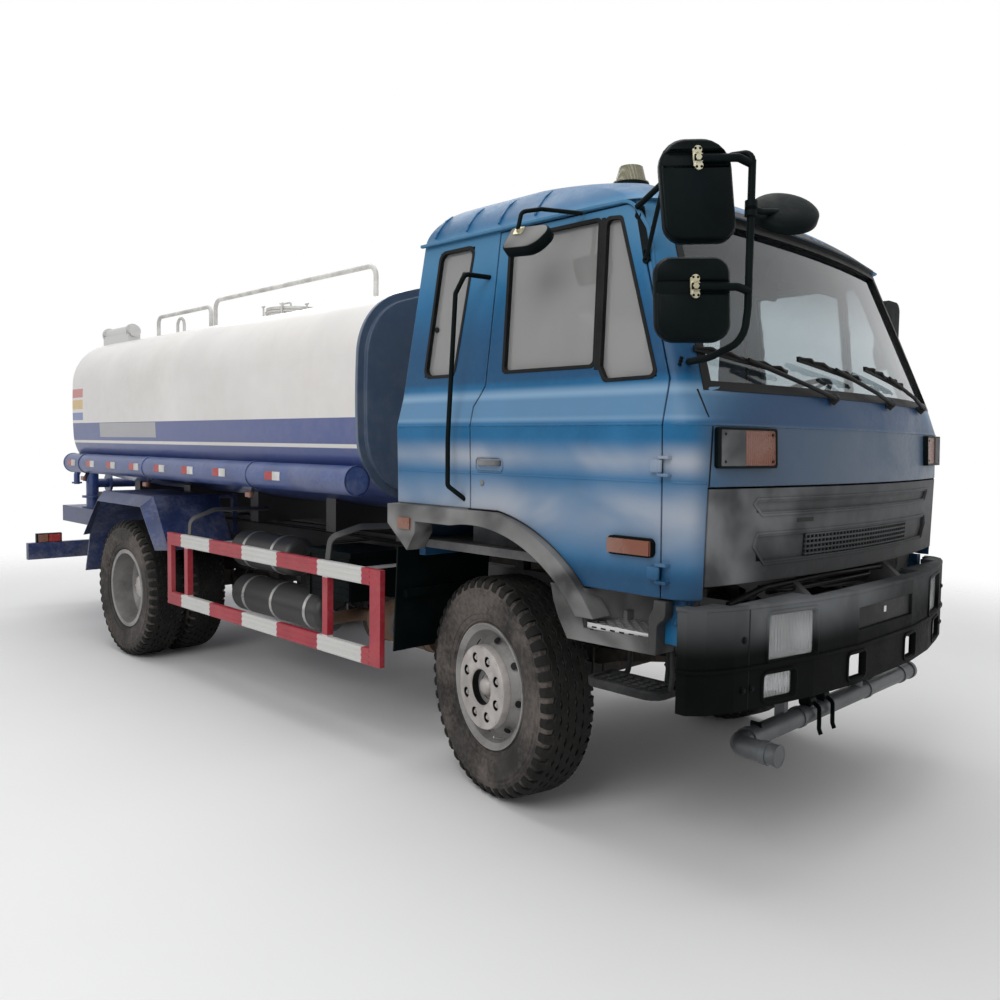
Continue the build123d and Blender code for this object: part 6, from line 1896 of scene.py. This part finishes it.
@dataclass
class MirrorSet:
    """The mirrors on the right: a bent tube, two domed housings with zinc brackets and a round mirror."""

    tube: Spot = (5300, -1200)
    # middle Z, width, height, top and bottom corner radius, lean in degrees, Z of the arm
    heads: Sequence[Sequence[float]] = (
        (2535, 246, 345, 96, 62, 6, 2636), (2172, 258, 286, 56, 66, 2.5, 2212))

    def housing(self, black: Shape, zinc: Shape, glass: Shape, head: Sequence[float]) -> None:
        """One housing with its channel, bracket, arm and glass.

        Args:
            black: polygons of the plastic and the arm.
            zinc: polygons of the bracket.
            glass: polygons of the mirror's glass.
            head: a row of the table of heads.
        """
        z, width, high, top, foot, lean, arm_z = head
        along, out = Vector((0.7071, 0.7071, 0)), Vector((0.7071, -0.7071, 0))
        mid = Vector((*self.tube, z)) - along * (width / 2 + 62)
        turn = math.radians(lean)

        def at(p: float, q: float, d: float) -> Point:
            """A place across, up and out from the housing's middle."""
            return tuple(mid + along * (p * math.cos(turn) - q * math.sin(turn)) + out * d
                         + Vector((0, 0, p * math.sin(turn) * 0.3 + q * math.cos(turn))))

        def stack(shape: Shape, outline: Outline, levels: Outline) -> None:
            """Adds a form whose outline shrinks from level to level."""
            shape.rings([[at(p, q, d) for p, q in grown(outline, -inset)] for d, inset in levels])

        def block(x: float, low: float, up: float, bends: Sequence[float]) -> Outline:
            """A rectangle with rounded corners."""
            return soft_corners(oblong(-x, low, x, up), bends, 7)

        half, tall = width / 2, high / 2
        bends = (foot, foot, top, top)
        arm = arm_z - z
        stack(black, block(half, -tall, tall, bends), ((-31, 5), (-24, 0), (4, 0), (14, 4), (20, 11)))
        face = block(half - 5, -tall + 5, tall - 5, [bend - 5 for bend in bends])
        for low, up in ((-tall, arm - 20), (arm + 18, tall)):
            stack(black, trimmed(face, low, up), ((4, 0), (18, 1), (27, 5), (32, 13)))
        stack(glass, block(half - 10, -tall + 12, tall - 12, [bend - 9 for bend in bends]),
              ((-29, 0), (-33, 0)))
        black.pipe([at(-8, arm, 30), at(half + 20, arm, 26), at(half + 66, arm - 12, 0)], 14, 40, 14)
        for up, lobe in ((26, 15), (-26, 15), (0, 20)):
            zinc.lathe([(0, lobe), (6, lobe - 1), (6, 0.1)], at(6, arm + up, 32), tuple(out), 20)
        stack(zinc, block(13, arm - 30, arm + 30, [4] * 4), ((31, 0), (37, 1)))
        zinc.hexagon(at(6, arm, 37), tuple(out), 19, 9)
        for up in (-30, 30):
            for p in (-2, 14):
                black.lathe([(0, 4.5), (1, 4.5)], at(p, arm + up, 37.5), tuple(out), 10)

    def build(self) -> None:
        """Builds the whole set in place of its plain solid, and the glass of the left mirror."""
        black, zinc, glass = Shape(), Shape(), Shape()
        x, y = self.tube
        for head in self.heads:
            self.housing(black, zinc, glass, head)
        black.pipe([(5000, -1100, 1990), (5045, -1150, 1985), (5150, -1190, 1990), (x - 12, y, 2040),
                    (x, y, 2150), (x, y, 2640)], 13, 110, 14)
        black.pipe([(x, y, 2600), (x, y, 2665), (x - 80, y, 2672), (4900, -1152, 2652), (4745, -1095, 2604)],
                   12, 40, 14)
        black.pipe([(4905, -1150, 2650), (4806, -1112, 2395)], 9, 0.0, 12)
        for z in (2470, 2490):
            black.lathe(oblong(-16, 21, 16, 12), (x, y, z), (0, 0, 1), 24, loop=True)
        for z in (2588, 2405):
            foot = Vector(SKIN.side(4742 + (2600 - z) * 0.33, z, -1, 4))
            for k in (-14, 14):
                black.lathe(oblong(0, 15, 9, 7), tuple(foot + Vector((0, 0, k))), (0, -1, 0), 18, loop=True)
        plate = [SKIN.side(px, z, -1, 5)
                 for px, z in ((4728, 2612), (4756, 2612), (4826, 2385), (4798, 2385))]
        black.prism(plate, (0, 8, 0))
        for z in (1978, 1990, 2002):
            black.hexagon(SKIN.side(4995, z, -1, 2.0), (0, -1, 0), 11, 9)
        facing = Vector((0.50, -0.49, 0.714)).normalized()
        spot = Vector((5326, -1017, 2500))
        black.lathe([(-20, 110), (-20, 118), (4, 118), (10, 111), (19, 84), (23, 48), (24, 0.1)], tuple(spot),
                    tuple(facing), 48)
        black.pipe([(x, y, 2482), (x + 10, -1150, 2478), (5322, -1060, 2492)], 11, 20)
        place("mirror_set", black, "cab", [Finishes.BLACK], 50, replaces=["mirrors_right"])
        place("mirror_brackets", zinc, "cab", [Finishes.ZINC], 40)
        glass.lathe([(0, 110), (3, 110), (3.2, 0.1)], tuple(spot - facing * 17), tuple(-facing), 40)
        place("mirror_glasses", glass, "cab", [Lenses.MIRROR], 30)
        left = Shape().rings([[(x, y, z) for y, z in soft_corners(oblong(1251, 2160, 1441, 2520), 40)]
                              for x in (4702, 4706)])
        place("left_mirror_glass", left, "door_left", [Lenses.MIRROR], 30)


@dataclass
class KerbMirror:
    """The small mirror over the right-hand door's window, hung from a bent rod."""

    centre: Point = (4365, -1318, 2512)

    def build(self) -> None:
        """Builds the shell, its bracket and the rod."""
        face = Vector((0.10, -0.80, 0.55)).normalized()
        across = Vector((1.0, 0.0, 0.0))
        across = (across - face * across.dot(face)).normalized()
        over = face.cross(across)
        if over.z < 0:
            over = -over
        outline = soft_corners([(-112, -62), (60, -62), (118, 62), (-112, 62)], [30, 80, 40, 20], 6)
        shell, pale = Shape(), Shape()
        mid = Vector(self.centre)
        for shape, levels in ((shell, ((-52, 6), (-46, 0), (-8, 0), (0, 4))), (pale, ((-2, 5), (1, 7)))):
            shape.rings([[tuple(mid + across * p + over * q + face * d) for p, q in grown(outline, -inset)]
                         for d, inset in levels])
        zinc = Shape()
        zinc.rings([[tuple(mid + across * (p - 58) + over * (q + 34) + face * d) for p, q in
                     soft_corners(oblong(-24, -20, 24, 20), 8)] for d in (0, 5)])
        zinc.hexagon(tuple(mid + across * -58 + over * 34 + face * 5), tuple(face), 18, 9)
        start = mid + across * -58 + over * 34 + face * 12
        shell.pipe([tuple(start), tuple(start + Vector((10, 10, 70))), (4370, -1240, 2634),
                    (4480, -1112, 2622)], 9, 24)
        place("kerb_mirror", shell, "door_right", [Finishes.BLACK], 50)
        place("kerb_mirror_back", pale, "door_right", [Finishes.STEP], 50)
        place("kerb_mirror_bracket", zinc, "door_right", [Finishes.ZINC], 40)


@dataclass
class RoofShell:
    """The cab's roof, drawn smoothly through its outlines."""

    steps: int = 4
    wall: float = 26

    @staticmethod
    def between(rows: Sequence[Sequence[float]], i: int, t: float) -> list[float]:
        """An outline between two of the given ones, on a smooth curve through all of them.

        Args:
            rows: the outlines.
            i: number of the lower one.
            t: share of the way to the next.

        Returns:
            The outline's values.
        """
        a, b, c, d = (rows[min(max(i + k, 0), len(rows) - 1)] for k in (-1, 0, 1, 2))
        return [0.5 * (2 * q + (r - p) * t + (2 * p - 5 * q + 4 * r - v) * t ** 2 + (
            3 * q - p - 3 * r + v) * t ** 3) for p, q, r, v in zip(a, b, c, d)]

    def ring(self, row: Sequence[float], inset: float) -> list[Point]:
        """One closed outline, drawn in by a distance.

        Args:
            row: a row of the table of levels.
            inset: the distance.

        Returns:
            The outline's points.
        """
        front = ROOF.plan(row)
        side = [(p.x, p.y) for p in front] + [(p.x, -p.y) for p in front[-2::-1]]
        line = [(row[1] + 30, row[2]), (row[1], row[2] - 30), (row[1], 30 - row[2]), (row[1] + 30, -row[2])]
        return [(x, y, row[0] - inset)
                for x, y in (grown([*side, *line], -inset) if inset else [*side, *line])]

    def build(self) -> None:
        """Builds the shell in place of its plain solid."""
        rows = [self.between(ROOF.levels, i, k / self.steps) for i in range(len(ROOF.levels) - 1)
                for k in range(self.steps)] + [list(ROOF.levels[-1])]
        outer = [self.ring(row, 0.0) for row in rows]
        inner = [self.ring(row, self.wall) for row in rows]
        inner[0] = [(x, y, rows[0][0]) for x, y, _ in inner[0]]
        inner = [ring for k, ring in enumerate(inner) if k in (0, 6, 10, 14, 16)]
        mid = Vector((4150, 0.0, 0.0))
        crown = [[(mid.x + (x - mid.x) * share, y * share, z + up) for x, y, z in outer[-1]]
                 for share, up in ((0.86, 5), (0.6, 9), (0.3, 11), (0.05, 12))]
        shape = Shape().rings([*inner[::-1], *outer, *crown])
        place("roof_shell", shape, "cab", [Finishes.CAB], 60, replaces=["cab_roof"])


@dataclass
class Steps:
    """The moulded well of the upper step with its grating, and the lower step on its hangers, on one side."""

    side: Side
    face: float = 1205
    # X and Z of the outer plate behind the opening, and of the post in front of it
    cheek: Outline = ((4425, 1096), (4440, 1030), (4470, 960), (4520, 880), (4640, 881), (4640, 938),
                      (4606, 938), (4596, 985), (4592, 1096))
    post: Outline = ((4924, 885), (4960, 886), (4962, 996), (4972, 1012), (4992, 1026), (4999, 1046),
                     (4999, 1096), (4946, 1096), (4944, 1064), (4934, 1046), (4924, 1030))
    # plan of the well's wall, from the outer plate round to the post
    wall: Outline = ((4592, 1204), (4606, 1190), (4640, 1080), (4672, 1010), (4730, 978), (4800, 970),
                     (4985, 970))
    floor: float = 944
    hole: float = 17.5

    def at(self, x: float, y: float, z: float) -> Point:
        """A place counted outwards on this side."""
        return x, y * self.side.value, z

    def surround(self) -> None:
        """The plate, the band under the opening, the post, the wall and the floor."""
        shape, s = Shape(), self.side.value
        face = self.face
        for outline, depth in ((self.cheek, 9), (self.post, 232), (
                ((4636, 881), (4928, 885), (4928, 950), (4636, 934)), 9)):
            shape.prism([self.at(x, face, z) for x, z in outline], (0, -depth * s, 0))
        lip = [Vector(self.at(x, face - 2, z)) for x, z in self.cheek[:1] + ((4592, 1096),)]
        shape.sweep(lip, oblong(-5, -5, 7, 5))
        walls = [(x, y) for x, y, _ in rounded([(x, y, 0.0) for x, y in self.wall], 40)]
        shape.rings([[self.at(x, y, 930), self.at(x, y, 1096), self.at(x - 6, y - 5, 1096),
                      self.at(x - 6, y - 5, 930)] for x, y in walls])
        shape.box(4600, 4930, s * 975, s * 1198, 884, 930)
        shape.box(4620, 5000, s * 968, s * 974, 1090, 1180)
        for x in (4690, 4880):
            shape.box(x - 10, x + 10, s * 972, s * 1040, 884, 1000)
        place(f"step_well_{self.side.word}", shape, "cab", [Finishes.STEP], 40, 2.0)

    def grating(self) -> None:
        """The crossed straps of the upper tread with its slotted front bar."""
        straps, slots = Shape(), Shape()
        x0, x1, y0, y1, z = 4622, 4916, 1000, 1186, self.floor
        for way in (1, -1):
            for k in range(-4, 8):
                # a strap along x = c + way * (y - y0), cut to the tread
                c = x0 + 46 * k if way > 0 else x1 - 46 * k
                ends = []
                for y in (y0, y1):
                    x = c + way * (y - y0)
                    clipped = min(max(x, x0), x1)
                    ends.append((clipped, y0 + (clipped - c) * way))
                (xa, ya), (xb, yb) = ends
                if abs(xb - xa) < 20:
                    continue
                across = Vector((way, -1.0, 0.0)).normalized() * 5.5
                straps.prism([self.at(xa - across.x, ya - across.y, z),
                              self.at(xb - across.x, yb - across.y, z),
                              self.at(xb + across.x, yb + across.y, z),
                              self.at(xa + across.x, ya + across.y, z)], (0, 0, 18 if way > 0 else 16.5))
        s = self.side.value
        for a, b, c, d in ((x0 - 6, x1 + 6, y1 - 2, y1 + 6), (x0 - 6, x1 + 6, y0 - 8, y0),
                           (x0 - 8, x0, y0, y1), (x1, x1 + 8, y0, y1)):
            straps.box(a, b, s * c, s * d, z - 8, z + 17)
        # Painted shade: black slots in the front bar and a black sheet under the straps stand for the shade
        # in the openings and beneath the tread.
        for k in range(6):
            slots.box(4640 + 46 * k, 4664 + 46 * k, s * (y1 + 5), s * (y1 + 7), z - 2, z + 4)
        slots.box(x0, x1, s * y0, s * y1, 931, 934)
        place(f"step_grating_{self.side.word}", straps, "cab", [Finishes.STEEL])
        place(f"step_slots_{self.side.word}", slots, "cab", [Finishes.RUBBER])

    def lower(self) -> None:
        """The lower tread with its rows of round holes, its rim and its hangers."""
        shape = Shape()
        x0, x1, y0, y1, z = 4598, 4962, 1000, 1196, 724
        edge = soft_corners(oblong(x0, y0 + 8, x1, y1), [20, 50, 70, 60], 5)
        rim = []
        for foot, outer, bevel, inner in zip(grown(edge, -4), edge, grown(edge, -6), grown(edge, -22)):
            rim.append([self.at(*p, z + up) for p, up in (
                (foot, -22), (outer, -16), (outer, 6), (bevel, 13), (inner, 13), (inner, -22))])
        shape.rings(rim, loop=True)
        columns, rows = 8, 4
        ax, ay = (x1 - x0 - 44) / columns, (y1 - y0 - 52) / rows
        for i in range(columns):
            for j in range(rows):
                cx, cy = x0 + 22 + ax * (i + 0.5), y0 + 30 + ay * (j + 0.5)
                square, circle = [], []
                for k in range(24):
                    t = math.tau * k / 24
                    c, q = math.cos(t), math.sin(t)
                    reach = min(ax / 2 / max(abs(c), 1e-6), ay / 2 / max(abs(q), 1e-6))
                    square.append((cx + c * reach, cy + q * reach))
                    circle.append((cx + c * self.hole, cy + q * self.hole))
                levels = ((square, 6), (circle, 6), (circle, -6), (square, -6))
                shape.rings([[self.at(x, y, z + up) for x, y in line] for line, up in levels], caps=False)
        for path in (((4640, 1010, z), (4680, 1004, z + 4), (4690, 1000, 780), (4690, 996, 900)),
                     ((4880, 1010, z), (4880, 1002, 780), (4880, 998, 900)),
                     ((4958, 1100, z), (4958, 1085, 790), (4950, 1080, 900))):
            shape.pipe([self.at(*p) for p in path], 11, 25)
        replaced = ["cab_steps"] if self.side is Side.RIGHT else []
        place(f"lower_step_{self.side.word}", shape, "cab", [Finishes.STEP_LOW], 40, replaces=replaced)

    def build(self) -> None:
        """Builds the well, the grating and the lower step."""
        self.surround()
        self.grating()
        self.lower()


def write_size() -> None:
    """Updates the view layer."""
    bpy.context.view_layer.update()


def main() -> None:
    """Builds every sub-assembly in order."""
    dress_solids()
    build_wheels()
    for side in Side:
        CabSide(side).build()
    CabFront().build()
    BumperTrim().build()
    RoofShell().build()
    for side in Side:
        Steps(side).build()
    MirrorSet().build()
    KerbMirror().build()
    for kit in fittings():
        kit.build()
    Studio().build()
    write_size()


if __name__ == "__main__":
    main()
